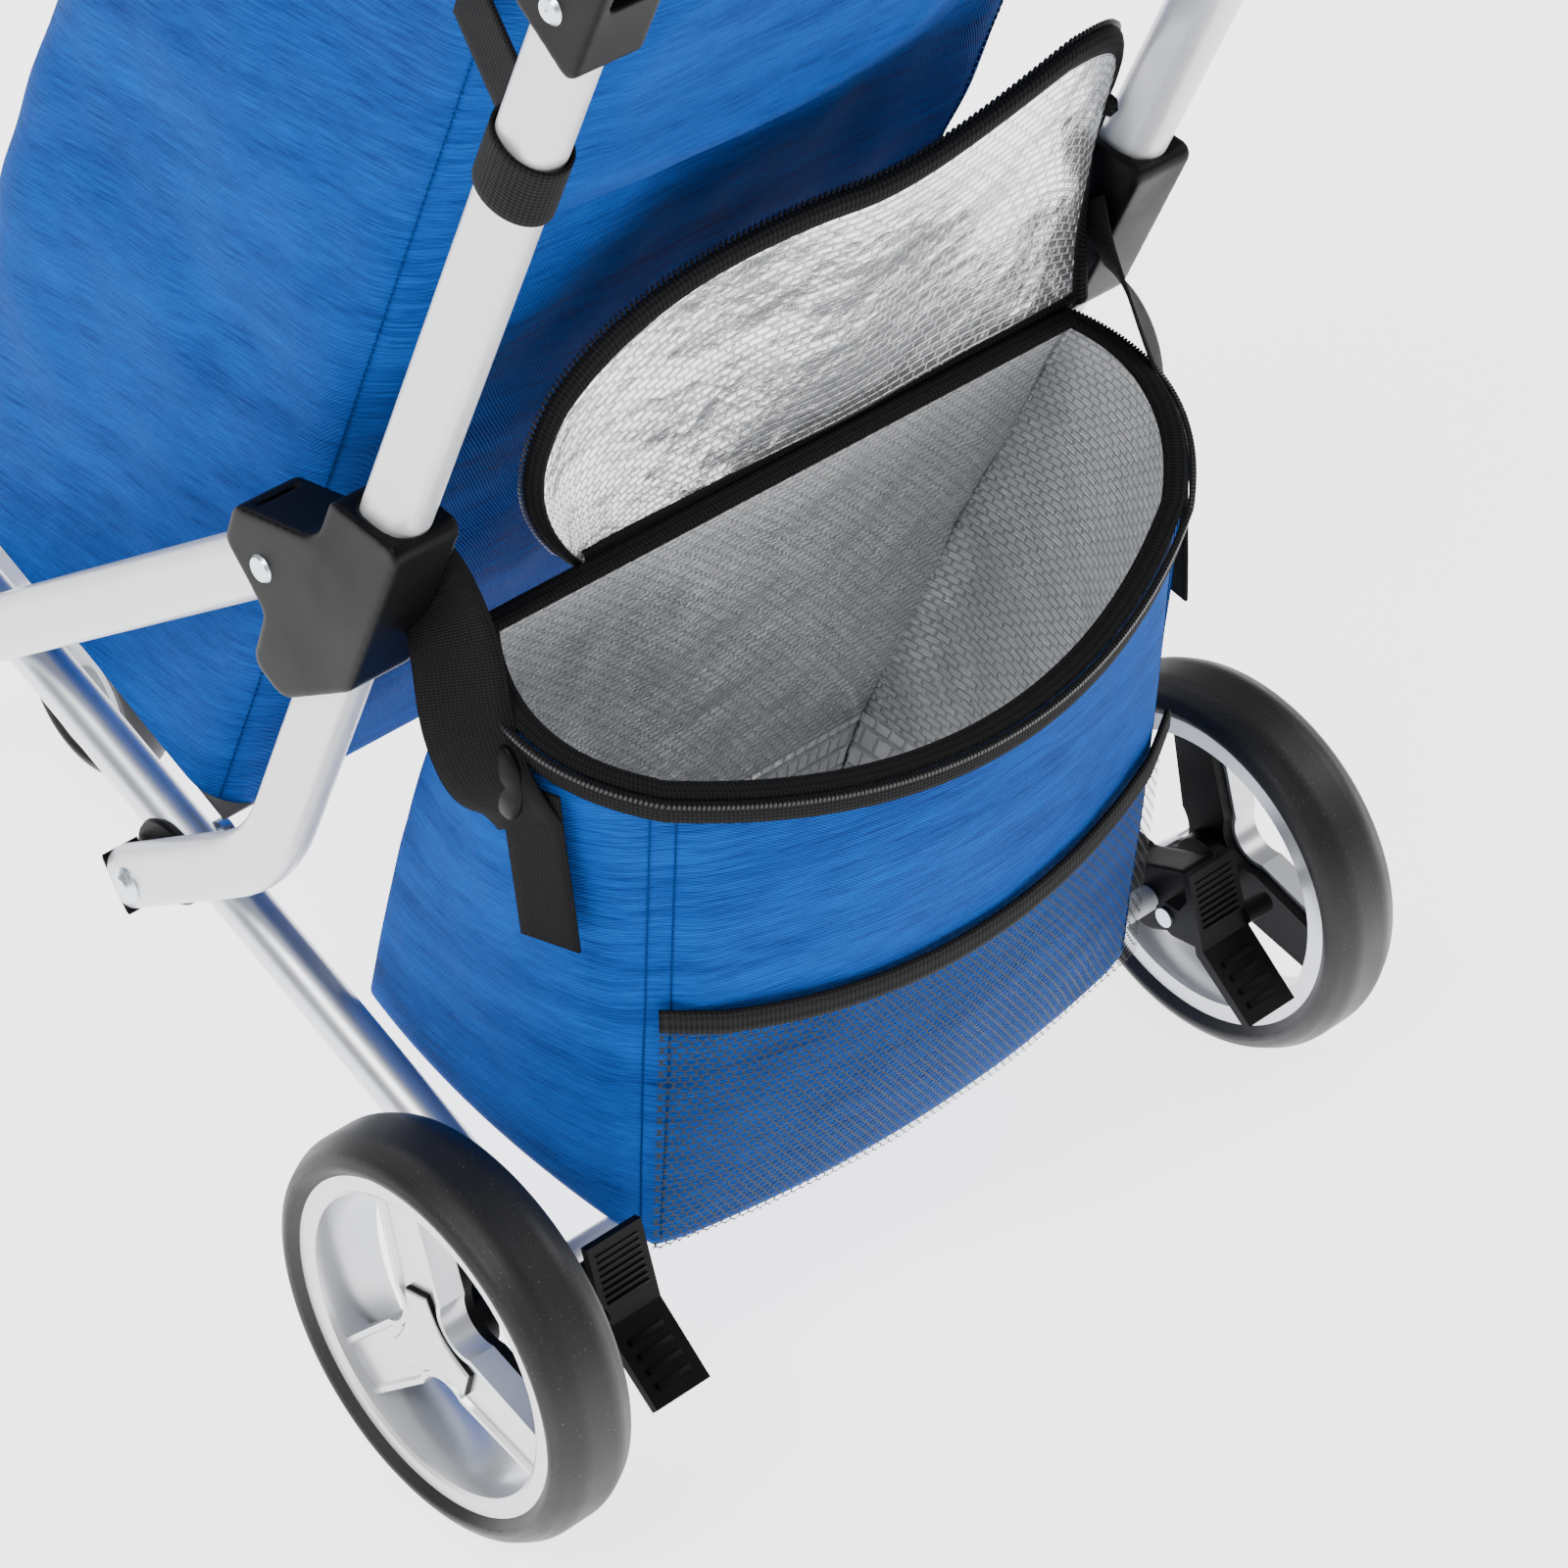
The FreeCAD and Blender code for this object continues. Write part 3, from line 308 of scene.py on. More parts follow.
def plate(shape, outline, hub, sign, front, back):
    """A flat plate across the axle; gives back its front face."""
    face = shape.faces.new([shape.verts.new(hub + Vector((sign * back, y, z)))
                            for y, z in outline])
    grown = bmesh.ops.extrude_face_region(shape, geom=[face])["geom"]
    bmesh.ops.translate(shape, vec=(sign * (front - back), 0, 0),
                        verts=[v for v in grown if isinstance(v, bmesh.types.BMVert)])
    bmesh.ops.recalc_face_normals(shape, faces=shape.faces)
    return [f for f in grown if isinstance(f, bmesh.types.BMFace)]


PHASE = -0.262
ARM, ARM_EDGE, ARM_BACK = 0.0140, 0.0775, 0.0725
LOBE = ((-0.268, 0.0272), (0.268, 0.0272), (0.40, 0.0215), (0.62, 0.0173), (0.85, 0.0154),
        (1.047, 0.0150), (1.244, 0.0154), (1.474, 0.0173), (1.694, 0.0215))
for side, sign in SIDES:
    hub = Vector((sign * 0.241, -0.180, 0.100))
    rim, outline = bmesh.new(), []
    for turn in (2, 1, 0):
        outline += third(window(ARM, 0.0150, ARM_EDGE), math.tau * (turn + 0.5) / 3 + PHASE)
    front = plate(rim, outline, hub, sign, 0.0135, 0.0)
    for width, depth in ((0.0026, 0.0), (0.0011, -0.0020)):
        bmesh.ops.inset_region(rim, faces=front, thickness=width, depth=depth,
                               use_even_offset=True)
    spun(rim, [(sign * x, r) for x, r in (
        (0.018, 0.0838), (0.018, 0.0765), (0.0168, 0.0745), (0.013, 0.0732),
        (0.000, 0.0720), (-0.013, 0.0728), (-0.018, 0.0745), (-0.018, 0.0838))], hub, 192)
    spun(rim, [(sign * x, r) for x, r in (
        (0.006, 0.0052), (0.006, 0.0165), (0.001, 0.0170), (0.001, 0.0052))], hub, 64)
    bmesh.ops.recalc_face_normals(rim, faces=rim.faces)
    add_piece("rim_" + side, rim, silver, "rear_wheel_" + side, "wheel_rim_" + side,
              smooth=math.radians(28))

    # Black nylon plates on the spokes' backs; they darken the wheel's inside.
    back = bmesh.new()
    outline = [point for turn in (2, 1, 0) for point in third(
        window(0.0118, 0.0172, ARM_BACK), math.tau * (turn + 0.5) / 3 + PHASE)]
    plate(back, outline, hub, sign, 0.0002, -0.0060)
    spun(back, [(sign * x, r) for x, r in (
        (-0.002, 0.0052), (-0.002, 0.0165), (-0.0138, 0.0150), (-0.0138, 0.0052))], hub, 64)
    bmesh.ops.recalc_face_normals(back, faces=back.faces)
    add_piece("rim_back_" + side, back, nylon, "rear_wheel_" + side)

    # The first piece is a black ring a little larger than the cap and behind it: painted
    # shade for the gap round the cap.
    for name, grow, low, high, finish, stands in (
            ("cap_gap_", 0.0007, 0.0100, 0.0138, nylon, ()),
            ("cap_", 0.0, 0.0105, 0.0146, silver, ("wheel_cap_" + side,))):
        cap = bmesh.new()
        outline = [point for turn in range(3) for point in third(
            [(-(r + grow) * math.sin(a), (r + grow) * math.cos(a)) for a, r in LOBE],
            math.tau * turn / 3 + PHASE)]
        top = plate(cap, outline, hub, sign, high, low)
        if stands:
            bmesh.ops.inset_region(cap, faces=top, thickness=0.0007, depth=0.0005,
                                   use_even_offset=True)
            peak = bmesh.ops.poke(cap, faces=top)["verts"]
            bmesh.ops.translate(cap, verts=peak, vec=(sign * 0.0028, 0, 0))
        bmesh.ops.recalc_face_normals(cap, faces=cap.faces)
        add_piece(name + side, cap, finish, "platform", *stands, smooth=math.radians(6))


# ---- Front wheels ------------------------------------------------------------------------
# Two small moulded wheels on one pin, each with a recessed disc and a solid tyre.
grey = Finish("grey_moulding", (0.32, 0.33, 0.35), 0.4, metallic=0.2)
wear = grey.grain(grey.place(), 60.0, 4.0)
grey.feed(Base_Color=grey.ramp(wear, (0.27, 0.28, 0.30), (0.38, 0.39, 0.41)),
          Roughness=grey.spread(wear, 0.3, 0.7, 0.32, 0.5))
paint(grey, "caster_rim_left", "caster_rim_right")


# ---- Brake pedals ------------------------------------------------------------------------
# Black moulded pedals that rock on a pin in each bracket. The upper plate has fine grip
# ribs, the lower one four raised bars.
paint(nylon, "brake_pedal_left", "brake_pedal_right")
PEDAL = 0.1855
for side, sign in SIDES:
    bars = bmesh.new()
    for start, end, count, first, gap, lift, size in (
            ((-0.236, 0.1130), (-0.268, 0.0870), 4, 0.25, 0.18, 0.0004,
             (0.019, 0.0032, 0.0022)),
            ((-0.2235, 0.1480), (-0.2345, 0.1160), 8, 0.08, 0.10, 0.0014,
             (0.024, 0.0012, 0.0010))):
        start, end = Vector((sign * PEDAL, *start)), Vector((sign * PEDAL, *end))
        along = (end - start).normalized()
        outward = Vector((0, along.z, -along.y))
        turn = Matrix((Vector((1, 0, 0)), along, outward)).transposed().to_4x4()
        for step in range(count):
            middle = start.lerp(end, first + gap * step) + outward * lift
            made = bmesh.ops.create_cube(bars, size=1.0)["verts"]
            bmesh.ops.scale(bars, vec=size, verts=made)
            bmesh.ops.transform(bars, verts=made, matrix=Matrix.Translation(middle) @ turn)
    bmesh.ops.bevel(bars, geom=list(bars.edges), offset=0.0004, segments=2, profile=0.5,
                    affect="EDGES", material=-1)
    add_piece("pedal_ribs_" + side, bars, nylon, "brake_" + side)


# ---- Main bag ----------------------------------------------------------------------------
# A tall bag of blue melange twill on a stiff board. The four panels are sewn together and
# the seams topstitched; the cloth sags between the tubes that it hangs from.
LEAN = math.radians(23.46)
PIVOT = Vector((0, 0.070, 0.187))


def leaning(x, forward, up):
    """A point measured from the lower pivot along the leaning tubes."""
    return PIVOT + Vector((x, forward * math.cos(LEAN) - up * math.sin(LEAN),
                           forward * math.sin(LEAN) + up * math.cos(LEAN)))


def panel(name, columns, rows, place, finish, body, *stands_for, size=(1.0, 1.0),
          thick=0.0, side=1.0, soften=0):
    """A sewn panel: a flat grid carried into place by a rule, its real size on its UV map."""
    cloth = bmesh.new()
    layer = cloth.loops.layers.uv.new("cloth")
    bmesh.ops.create_grid(cloth, x_segments=columns, y_segments=rows, size=0.5)
    for face in cloth.faces:
        for loop in face.loops:
            loop[layer].uv = ((loop.vert.co.x + 0.5) * size[0],
                              (loop.vert.co.y + 0.5) * size[1])
    for vert in cloth.verts:
        vert.co = place(vert.co.x + 0.5, vert.co.y + 0.5)
    bmesh.ops.remove_doubles(cloth, verts=cloth.verts, dist=0.00002)
    for _ in range(soften):
        bmesh.ops.smooth_vert(cloth, verts=[v for v in cloth.verts if not v.is_boundary],
                              factor=0.5, use_axis_x=True, use_axis_y=True,
                              use_axis_z=True)
    bmesh.ops.recalc_face_normals(cloth, faces=cloth.faces)
    piece = add_piece(name, cloth, finish, body, *stands_for, smooth=0)
    if thick:
        wall = piece.modifiers.new("thickness", "SOLIDIFY")
        wall.thickness, wall.offset = thick, side
    return piece


def twill(name, source="Object", stretch=(1, 1, 1)):
    """Melange twill: dark and light yarns that run across, and a fine diagonal rib."""
    cloth = Finish(name, (0.001, 0.060, 0.30), 0.8, sheen=0.0, gloss=0.06)
    yarn = cloth.grain(cloth.place(source, tuple(
        s * f for s, f in zip(stretch, (45, 45, 1100)))), 1.0, 3.0, 0.65)
    patch = cloth.grain(cloth.place(source, tuple(
        s * f for s, f in zip(stretch, (8, 8, 60)))), 1.0, 3.0)
    tone = cloth.spread(yarn * 0.72 + patch * 0.28, 0.34, 0.66)
    rib = cloth.node("ShaderNodeTexWave", {"bands_direction": "DIAGONAL"},
                     Vector=cloth.place(source, stretch), Scale=420.0, Distortion=1.2,
                     Detail=1.0)
    cloth.feed(Base_Color=cloth.ramp(tone, (0.0, 0.020, 0.125), (0.001, 0.082, 0.40)),
               Roughness=cloth.spread(yarn, 0.3, 0.7, 0.66, 0.86))
    cloth.raised(rib * 0.7 + yarn * 0.3, 0.0004, 0.8)
    return cloth


blue = twill("blue_twill")
HALF, BACK, FRONT, LOW, HIGH = 0.175, -0.006, 0.234, 0.0145, 0.604


def plan(share, grow=0.0, corner=0.030):
    """The bag's plan, as (x, forward), a share of the way round from the back's middle."""
    deep, wide = (FRONT - BACK) / 2, HALF
    straight = [2 * (wide - corner), 2 * (deep - corner)] * 2
    bend = math.pi * corner / 2
    total = sum(straight) + 4 * bend
    run = (share * total + straight[0] / 2) % total
    x, y, heading = -(wide - corner), -deep, 0.0
    for length in straight:
        step = Vector((math.cos(heading), math.sin(heading)))
        if run <= length:
            out = Vector((step.y, -step.x))
            point = Vector((x, y)) + step * run + out * grow
            return point.x, point.y + BACK + deep
        run -= length
        x, y = x + step.x * length, y + step.y * length
        centre = Vector((x - step.y * corner, y + step.x * corner))
        if run <= bend:
            angle = heading - math.pi / 2 + run / corner
            point = centre + Vector((math.cos(angle), math.sin(angle))) * (corner + grow)
            return point.x, point.y + BACK + deep
        run -= bend
        heading += math.pi / 2
        x, y = (centre.x + math.cos(heading - math.pi / 2) * corner,
                centre.y + math.sin(heading - math.pi / 2) * corner)
    return x, y + BACK + deep


def wrinkle(point, scale, depth, seed=0.0):
    return depth * noise.noise(Vector(point) * scale + Vector((seed, seed * 2, 0)))


def main_skin(inset):
    """The bag's wall, gathered a little at its foot, with soft hollows and creases."""
    def place(share, rise):
        if rise < 0.12:
            spread, up = rise / 0.12, LOW + 0.002
            x, forward = plan(share, inset - 0.002)
            x, forward = x * spread, 0.114 + (forward - 0.114) * spread
            return leaning(x, forward, up + (0.006 if inset < 0 else 0.0))
        height = (rise - 0.12) / 0.88
        swell = math.sin(math.pi * min(1.0, height * 1.05)) * 0.004
        tuck = -0.001 * math.exp(-height * 14.0)
        x, forward = plan(share, inset)
        spot = (x * 7.0, forward * 7.0, height * 3.2)
        soft = wrinkle(spot, 1.3, 0.006) + wrinkle(spot, 4.1, 0.0024, 5.0)
        crease = wrinkle((x * 22.0, forward * 22.0, height * 4.0), 1.0, 0.0016, 9.0)
        ease = min(1.0, height * 6.0) * (1.0 if height < 0.94 else (1.0 - height) * 16.0)
        x, forward = plan(share, inset + tuck + (swell * 0.4 + soft + crease) * ease - 0.001)
        return leaning(x, forward, LOW + 0.002 + height * (HIGH - LOW - 0.002))
    return place


bag = panel("bag_shell", 260, 150, main_skin(0.0), blue, "frame", "main_bag",
            size=(1.1, 0.66), soften=2)
lining_black = Finish("bag_lining", (0.012, 0.012, 0.014), 0.7, gloss=0.25)
thread = lining_black.grain(lining_black.place(stretch=(1, 1, 30)), 60.0)
lining_black.feed(Base_Color=lining_black.ramp(thread, (0.007, 0.007, 0.008),
                                               (0.018, 0.018, 0.020)))
lining_black.raised(thread, 0.0002, 0.5)
inside = panel("bag_lining", 120, 70, main_skin(-0.0025), lining_black, "frame",
               size=(1.1, 0.66), soften=2)
for shell in (bag, inside):
    tuple(leaning(0, BACK, 0.3))
    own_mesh(shell)

board = Finish("base_board", (0.04, 0.04, 0.043), 0.6)
pores = board.grain(board.place(), 700.0)
board.feed(Base_Color=board.ramp(pores, (0.03, 0.03, 0.032), (0.055, 0.055, 0.058)))
board.raised(pores, 0.0002, 0.4)


def stiffener(across, along):
    return leaning((across - 0.5) * 0.341, BACK + 0.004 + (FRONT - BACK - 0.008) * along,
                   LOW + 0.0048)


stiff = panel("bag_board", 12, 12, stiffener, board, "frame", "base_board",
              size=(0.34, 0.23), thick=0.003, side=0.0)
tuple(leaning(0, BACK, 0.3))
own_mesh(stiff)


def along_path(points, share):
    """A point on a smooth line through the given ones."""
    place = min(share, 0.99999) * (len(points) - 1)
    i = int(place)
    t = place - i
    p0, p1, p2, p3 = (Vector(points[min(max(j, 0), len(points) - 1)])
                      for j in (i - 1, i, i + 1, i + 2))
    return 0.5 * (2 * p1 + (p2 - p0) * t + (2 * p0 - 5 * p1 + 4 * p2 - p3) * t * t
                  + (3 * p1 - p0 - 3 * p2 + p3) * t ** 3)


def stitches(name, rule, count, lift, finish, body, length=0.0032, width=0.0007):
    """A row of topstitching; the rule gives each stitch's place and outward direction."""
    row = bmesh.new()
    for step in range(count):
        share = (step + 0.5) / count
        at, out = rule(share)
        ahead, _ = rule(share + 0.2 / count)
        along = (ahead - at).normalized()
        out = (out - along * out.dot(along)).normalized()
        made = bmesh.ops.create_cube(row, size=1.0)["verts"]
        bmesh.ops.scale(row, vec=(length, width, width), verts=made)
        turn = Matrix((along, out.cross(along), out)).transposed().to_4x4()
        bmesh.ops.transform(row, verts=made,
                            matrix=Matrix.Translation(at + out * lift) @ turn)
    return add_piece(name, row, finish, body)


thread_blue = Finish("seam_thread", (0.001, 0.02, 0.11), 0.8, gloss=0.05)
twist = thread_blue.grain(thread_blue.place(), 2500.0)
thread_blue.feed(Base_Color=thread_blue.ramp(twist, (0.0, 0.016, 0.085),
                                             (0.001, 0.035, 0.16)))
skin = main_skin(0.0)
for side, sign in SIDES:
    for number, corner in enumerate((0.137, 0.153)):
        share = corner if sign > 0 else 1.0 - corner

        def seam(rise, share=share):
            here = skin(share, 0.13 + 0.86 * rise)
            middle = leaning(0, 0.114, LOW + rise * (HIGH - LOW))
            return here, (here - middle).normalized()
        row = stitches(f"bag_seam_{side}_{number}", seam, 130, 0.0003, thread_blue, "frame")
        tuple(leaning(0, BACK, 0.3))
        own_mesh(row)


# ---- Main bag's pocket, flap and hangers -------------------------------------------------
# The flat zipped pocket is sewn on the back; the flap closes the top and hangs over the
# front edge; two webbing loops hold the bag to the side tubes.
def pillow(low, high, swell):
    """A flat padded panel's outer face and edges, from its lower to its upper corner."""
    def place(across, rise):
        edge = 16 * across * (1 - across) * rise * (1 - rise)
        x = low[0] + (high[0] - low[0]) * across
        up = low[2] + (high[2] - low[2]) * rise
        forward = high[1] - (high[1] - low[1]) * min(1.0, edge * 2.2) - swell * edge
        return leaning(x, forward + wrinkle((x * 20, up * 20, 0), 1.0, 0.0012), up)
    return place


pocket = panel("pocket_panel", 60, 40, pillow((-0.130, -0.0155, 0.414),
                                             (0.130, -0.0045, 0.584), 0.0), blue, "frame",
               "rear_pocket", size=(0.26, 0.17), thick=0.0012)
tuple(leaning(0, BACK, 0.3))
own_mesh(pocket)


def flap(across, run):
    """The flap from its hinge at the back over the top and down the front."""
    x = (across - 0.5) * 0.354
    top = FRONT - BACK + 0.004
    length = run * (top + 0.064)
    sag = -0.0035 * math.sin(math.pi * across) * math.sin(math.pi * min(1, length / top))
    if length < top:
        spot = (x * 12, length * 12, 0)
        return leaning(x, BACK + length, HIGH + 0.0035 + sag + wrinkle(spot, 1.0, 0.0012))
    return leaning(x, FRONT + 0.003 + wrinkle((x * 18, length * 18, 0), 1.0, 0.0012),
                   HIGH + 0.0035 - (length - top))


panel("flap", 70, 70, flap, blue, "main_lid", "bag_lid", size=(0.354, 0.31), thick=0.003,
      side=0.0, soften=2)


def webbing(name):
    """Black woven webbing: ribs across its length, on its own UV map in metres."""
    tape = Finish(name, (0.005, 0.005, 0.006), 0.75, gloss=0.10)
    where = tape.node("ShaderNodeSeparateXYZ", {}, tape.place("UV"))
    rows = where.maths("MULTIPLY", math.tau / 0.0021).maths("SINE")
    lines = tape.node("ShaderNodeSeparateXYZ", {}, tape.place("UV"), out=1)
    fine = lines.maths("MULTIPLY", math.tau / 0.0018).maths("SINE")
    fuzz = tape.grain(tape.place("UV"), 2600.0)
    height = rows * 0.35 + fine * 0.25 + fuzz * 0.4
    tape.feed(Base_Color=tape.ramp(tape.spread(height, -0.3, 0.8), (0.002, 0.002, 0.002),
                                   (0.012, 0.012, 0.013)))
    tape.raised(height, 0.0005, 0.8)
    return tape


web = webbing("black_webbing")
for side, sign in SIDES:
    def loop(run, rise, sign=sign):
        angle = math.tau * run
        radius_x, radius_y = 0.0128, 0.0170
        return leaning(sign * (0.209 + radius_x * math.cos(angle)),
                       -0.0623 + radius_y * math.sin(angle), 0.564 + 0.030 * rise)

    panel("hanger_" + side, 48, 8, loop, web, "frame", "bag_hanger_" + side,
          size=(0.1, 0.03), thick=0.0014, side=1.0)

    def tail(run, rise, sign=sign):
        start = Vector((sign * 0.1975, -0.0500, 0))
        end = Vector((sign * 0.1758, 0.0160, 0))
        at = start.lerp(end, run)
        return leaning(at.x, at.y, 0.564 + 0.030 * rise)

    panel("hanger_tail_" + side, 16, 8, tail, web, "frame", size=(0.07, 0.03),
          thick=0.0014, side=0.0)


# ---- Cooler bag --------------------------------------------------------------------------
# A D-shaped tub of the same twill, foam and foil lining, with its rim bound in ribbed tape
# and a zip round it. A net pocket with an elastic top is sewn between the rear seams.
FLOOR_SLOPE, RIM_SLOPE = 0.185, 0.5
FLOOR_LEVEL = 0.102 + 0.034 * FLOOR_SLOPE
RIM_LEVEL = 0.418 - 0.050 * RIM_SLOPE
D_LOW = (0.156, 0.162, 0.162, 0.070, 0.150, -0.028, -0.043)
D_HIGH = (0.172, 0.050, 0.186, 0.002, 0.152, -0.044, -0.086)
BACK_SHARE = 0.33


def bow(a, b, c, t):
    """A shallow curve through three points."""
    return a * ((1 - t) * (1 - 2 * t)) + b * (4 * t * (1 - t)) + c * (t * (2 * t - 1))


def d_plan(share, size):
    """The D's outline from the middle of its straight back: (x, y)."""
    half_back, back, half_side, middle, half_seam, seam, rear = size
    flip = 1.0
    if share > 0.5:
        share, flip = 1.0 - share, -1.0
    if share < 0.5 * BACK_SHARE:
        point = Vector((half_back * share / (0.5 * BACK_SHARE), back))
    elif share < 0.5 * BACK_SHARE + 0.15:
        t = (share - 0.5 * BACK_SHARE) / 0.15
        point = bow(Vector((half_back, back)), Vector((half_side, middle)),
                    Vector((half_seam, seam)), t)
    else:
        t = (share - 0.5 * BACK_SHARE - 0.15) / (0.35 - 0.5 * BACK_SHARE) * 0.5
        point = bow(Vector((half_seam, seam)), Vector((0, rear)),
                    Vector((-half_seam, seam)), t)
    return point.x * flip, point.y


SEAM_SHARE = 0.5 * BACK_SHARE + 0.15


def tub(share, height, grow=0.0):
    """A point on the tub's wall, a share of the way round and of the height."""
    size = [a + (b - a) * height for a, b in zip(D_LOW, D_HIGH)]
    x, y = d_plan(share % 1.0, size)
    ahead = d_plan((share + 0.002) % 1.0, size)
    behind = d_plan((share - 0.002) % 1.0, size)
    out = Vector((behind[1] - ahead[1], ahead[0] - behind[0]))
    out = out.normalized() if out.length else out
    x, y = x + out.x * grow, y + out.y * grow
    level = FLOOR_LEVEL + (RIM_LEVEL - FLOOR_LEVEL) * height
    slope = FLOOR_SLOPE + (RIM_SLOPE - FLOOR_SLOPE) * height
    return Vector((x, y - 0.180, level + slope * y)), Vector((out.x, out.y, 0))


def tub_skin(grow, seed, depth, floor=0.002):
    """The tub's skin with its floor, puffed a little and creased."""
    def place(share, rise):
        if rise < 0.16:
            spread = rise / 0.16
            edge, _ = tub(share, 0.0, grow)
            middle = Vector((0, -0.180 + 0.06, FLOOR_LEVEL + FLOOR_SLOPE * 0.06))
            return middle.lerp(edge, spread) + Vector((0, 0, floor))
        height = (rise - 0.16) / 0.84
        at, out = tub(share, height, grow)
        calm = min(1.0, height * 5.0) * min(1.0, (1.0 - height) * 5.0)
        spot = (at.x * 14, at.y * 14, at.z * 7)
        soft = wrinkle(spot, 1.0, depth, seed) + wrinkle(spot, 3.3, depth * 0.35, seed + 3)
        soft = abs(soft) * (0.5 if grow > -0.002 else -1.0)
        puff = 0.004 * math.sin(math.pi * height) * (1.0 if grow > -0.002 else 0.0)
        seamed = 1.0 - math.exp(-((abs(0.5 - share) - (0.5 - SEAM_SHARE)) / 0.012) ** 2)
        return at + out * (puff * seamed - 0.002 * (1 - seamed) + soft * calm) + Vector(
            (0, 0, floor * (1 - height)))
    return place


panel("cooler_shell", 240, 90, tub_skin(-0.0005, 2.0, 0.0030), blue, "frame",
      "cooler_bag", size=(1.0, 0.36), soften=1)


def foil(name, metal):
    """Aluminised film quilted in small bricks, crumpled where it is folded."""
    film = Finish(name, (0.80, 0.81, 0.83), 0.22, metallic=metal)
    where = film.place("UV")
    warp = film.grain(where, 26.0, 2.0)
    bricks = film.node("ShaderNodeTexBrick", {"offset": 0.5},
                       Vector=where, Scale=1.0, Mortar_Size=0.0008, Mortar_Smooth=0.6,
                       Brick_Width=0.0078, Row_Height=0.0046, out=1)
    crumple = film.grain(where, 38.0, 6.0, 0.62)
    facets = film.node("ShaderNodeTexVoronoi", {"feature": "F1"}, Vector=where,
                       Scale=60.0)
    folds = abs(film.grain(where, 15.0, 3.0, 0.6) - 0.5)
    height = (1 - bricks) * 0.5 + crumple * 1.1 + facets * 0.3 + warp * 0.3 - folds * 3.0
    # The colour follows the relief: painted shade in the quilting's grooves, and painted
    # light and dark over the crumples for their reflections.
    film.feed(Base_Color=film.ramp(bricks * 0.55 + crumple * 0.6, (1.0, 1.0, 1.0),
                                   (0.48, 0.50, 0.53)),
              Roughness=film.spread(bricks + crumple * 0.4, 0.1, 1.2, 0.14, 0.34))
    film.raised(height, 0.0015, 0.9)
    return film


# The lining's copy of the foil is less metallic than the lid's so that it shows brighter in
# the tub's shade: painted light.
silver_film = foil("foil_lining", 0.45)
panel("cooler_lining", 240, 90, tub_skin(-0.0045, 7.0, 0.0062, floor=0.006), silver_film,
      "frame", size=(1.0, 0.36))


def hoop(line, across, up, wide, tall):
    """A soft edge binding round a line: the rule gives a place and an outward direction."""
    def place(share, around):
        at, out = line(share)
        angle = math.tau * around
        squash = abs(math.cos(angle)) ** 0.6 * math.copysign(1, math.cos(angle))
        rise = abs(math.sin(angle)) ** 0.6 * math.copysign(1, math.sin(angle))
        return at + out * (across + wide * squash) + Vector((0, 0, up + tall * rise))
    return place


def rim_line(share):
    return tub(share, 1.0)


panel("rim_binding", 420, 16, hoop(rim_line, -0.0050, 0.0012, 0.0052, 0.0026), web,
      "frame", size=(1.0, 0.018))


def zip_tape(line, outward, drop, wide):
    """The zip's woven tape: a strip from the rim down the outside."""
    def place(share, across):
        at, out = line(share)
        return at + out * outward + Vector((0, 0, drop - wide * across))
    return place


panel("rim_zip_tape", 420, 5, zip_tape(rim_line, 0.0016, 0.0010, 0.011), web, "frame",
      size=(1.0, 0.011), thick=0.0009)


def teeth(name, line, count, outward, up, body):
    """The zip's coil, one small tooth for each turn."""
    coil = bmesh.new()
    for step in range(count):
        share = (step + 0.5) / count
        at, out = line(share)
        ahead, _ = line(share + 0.3 / count)
        along = (ahead - at).normalized()
        rise = out.cross(along).normalized()
        made = bmesh.ops.create_cube(coil, size=1.0)["verts"]
        bmesh.ops.scale(coil, vec=(0.0013, 0.0030, 0.0017), verts=made)
        turn = Matrix((along, out, rise)).transposed().to_4x4()
        bmesh.ops.transform(coil, verts=made, matrix=Matrix.Translation(
            at + out * outward + Vector((0, 0, up))) @ turn)
    return add_piece(name, coil, coil_black, body)


coil_black = Finish("zip_coil", (0.005, 0.005, 0.006), 0.35, gloss=0.35)
sheen = coil_black.grain(coil_black.place(), 1500.0)
coil_black.feed(Roughness=coil_black.spread(sheen, 0.3, 0.7, 0.25, 0.5),
                Base_Color=coil_black.ramp(sheen, (0.003, 0.003, 0.004),
                                           (0.010, 0.010, 0.011)))


def open_rim(share):
    """The rim from the hinge's right end round to its left end."""
    return rim_line(0.5 * BACK_SHARE + share * (1 - BACK_SHARE))


teeth("rim_zip_teeth", open_rim, 300, 0.0030, -0.0005, "frame")

net = Finish("black_net", (0.003, 0.003, 0.004), 0.6, gloss=0.25)
flat = net.node("ShaderNodeVectorMath", {"operation": "SCALE"}, net.place("UV"),
                Scale=1 / 0.0046)
across = net.node("ShaderNodeSeparateXYZ", {}, flat)
down = net.node("ShaderNodeSeparateXYZ", {}, flat, out=1)
near_x, near_y = across % 1.0 - 0.5, down % 1.732 - 0.866
far_x, far_y = (across - 0.5) % 1.0 - 0.5, (down - 0.866) % 1.732 - 0.866
nearer = (near_x * near_x + near_y * near_y) < (far_x * far_x + far_y * far_y)
cell_x = abs(near_x * nearer + far_x * (1 - nearer))
cell_y = abs(near_y * nearer + far_y * (1 - nearer))
reach = cell_x.maths("MAXIMUM", cell_x * 0.5 + cell_y * 0.866)
net.feed(Alpha=reach > 0.405)
net.raised(reach, 0.0004, 0.6)


def net_line(share):
    """Where round the tub the net lies: from one rear seam to the other."""
    return SEAM_SHARE + share * (1 - 2 * SEAM_SHARE)


def net_top(share):
    return 0.545 - 0.045 * math.sin(math.pi * share)


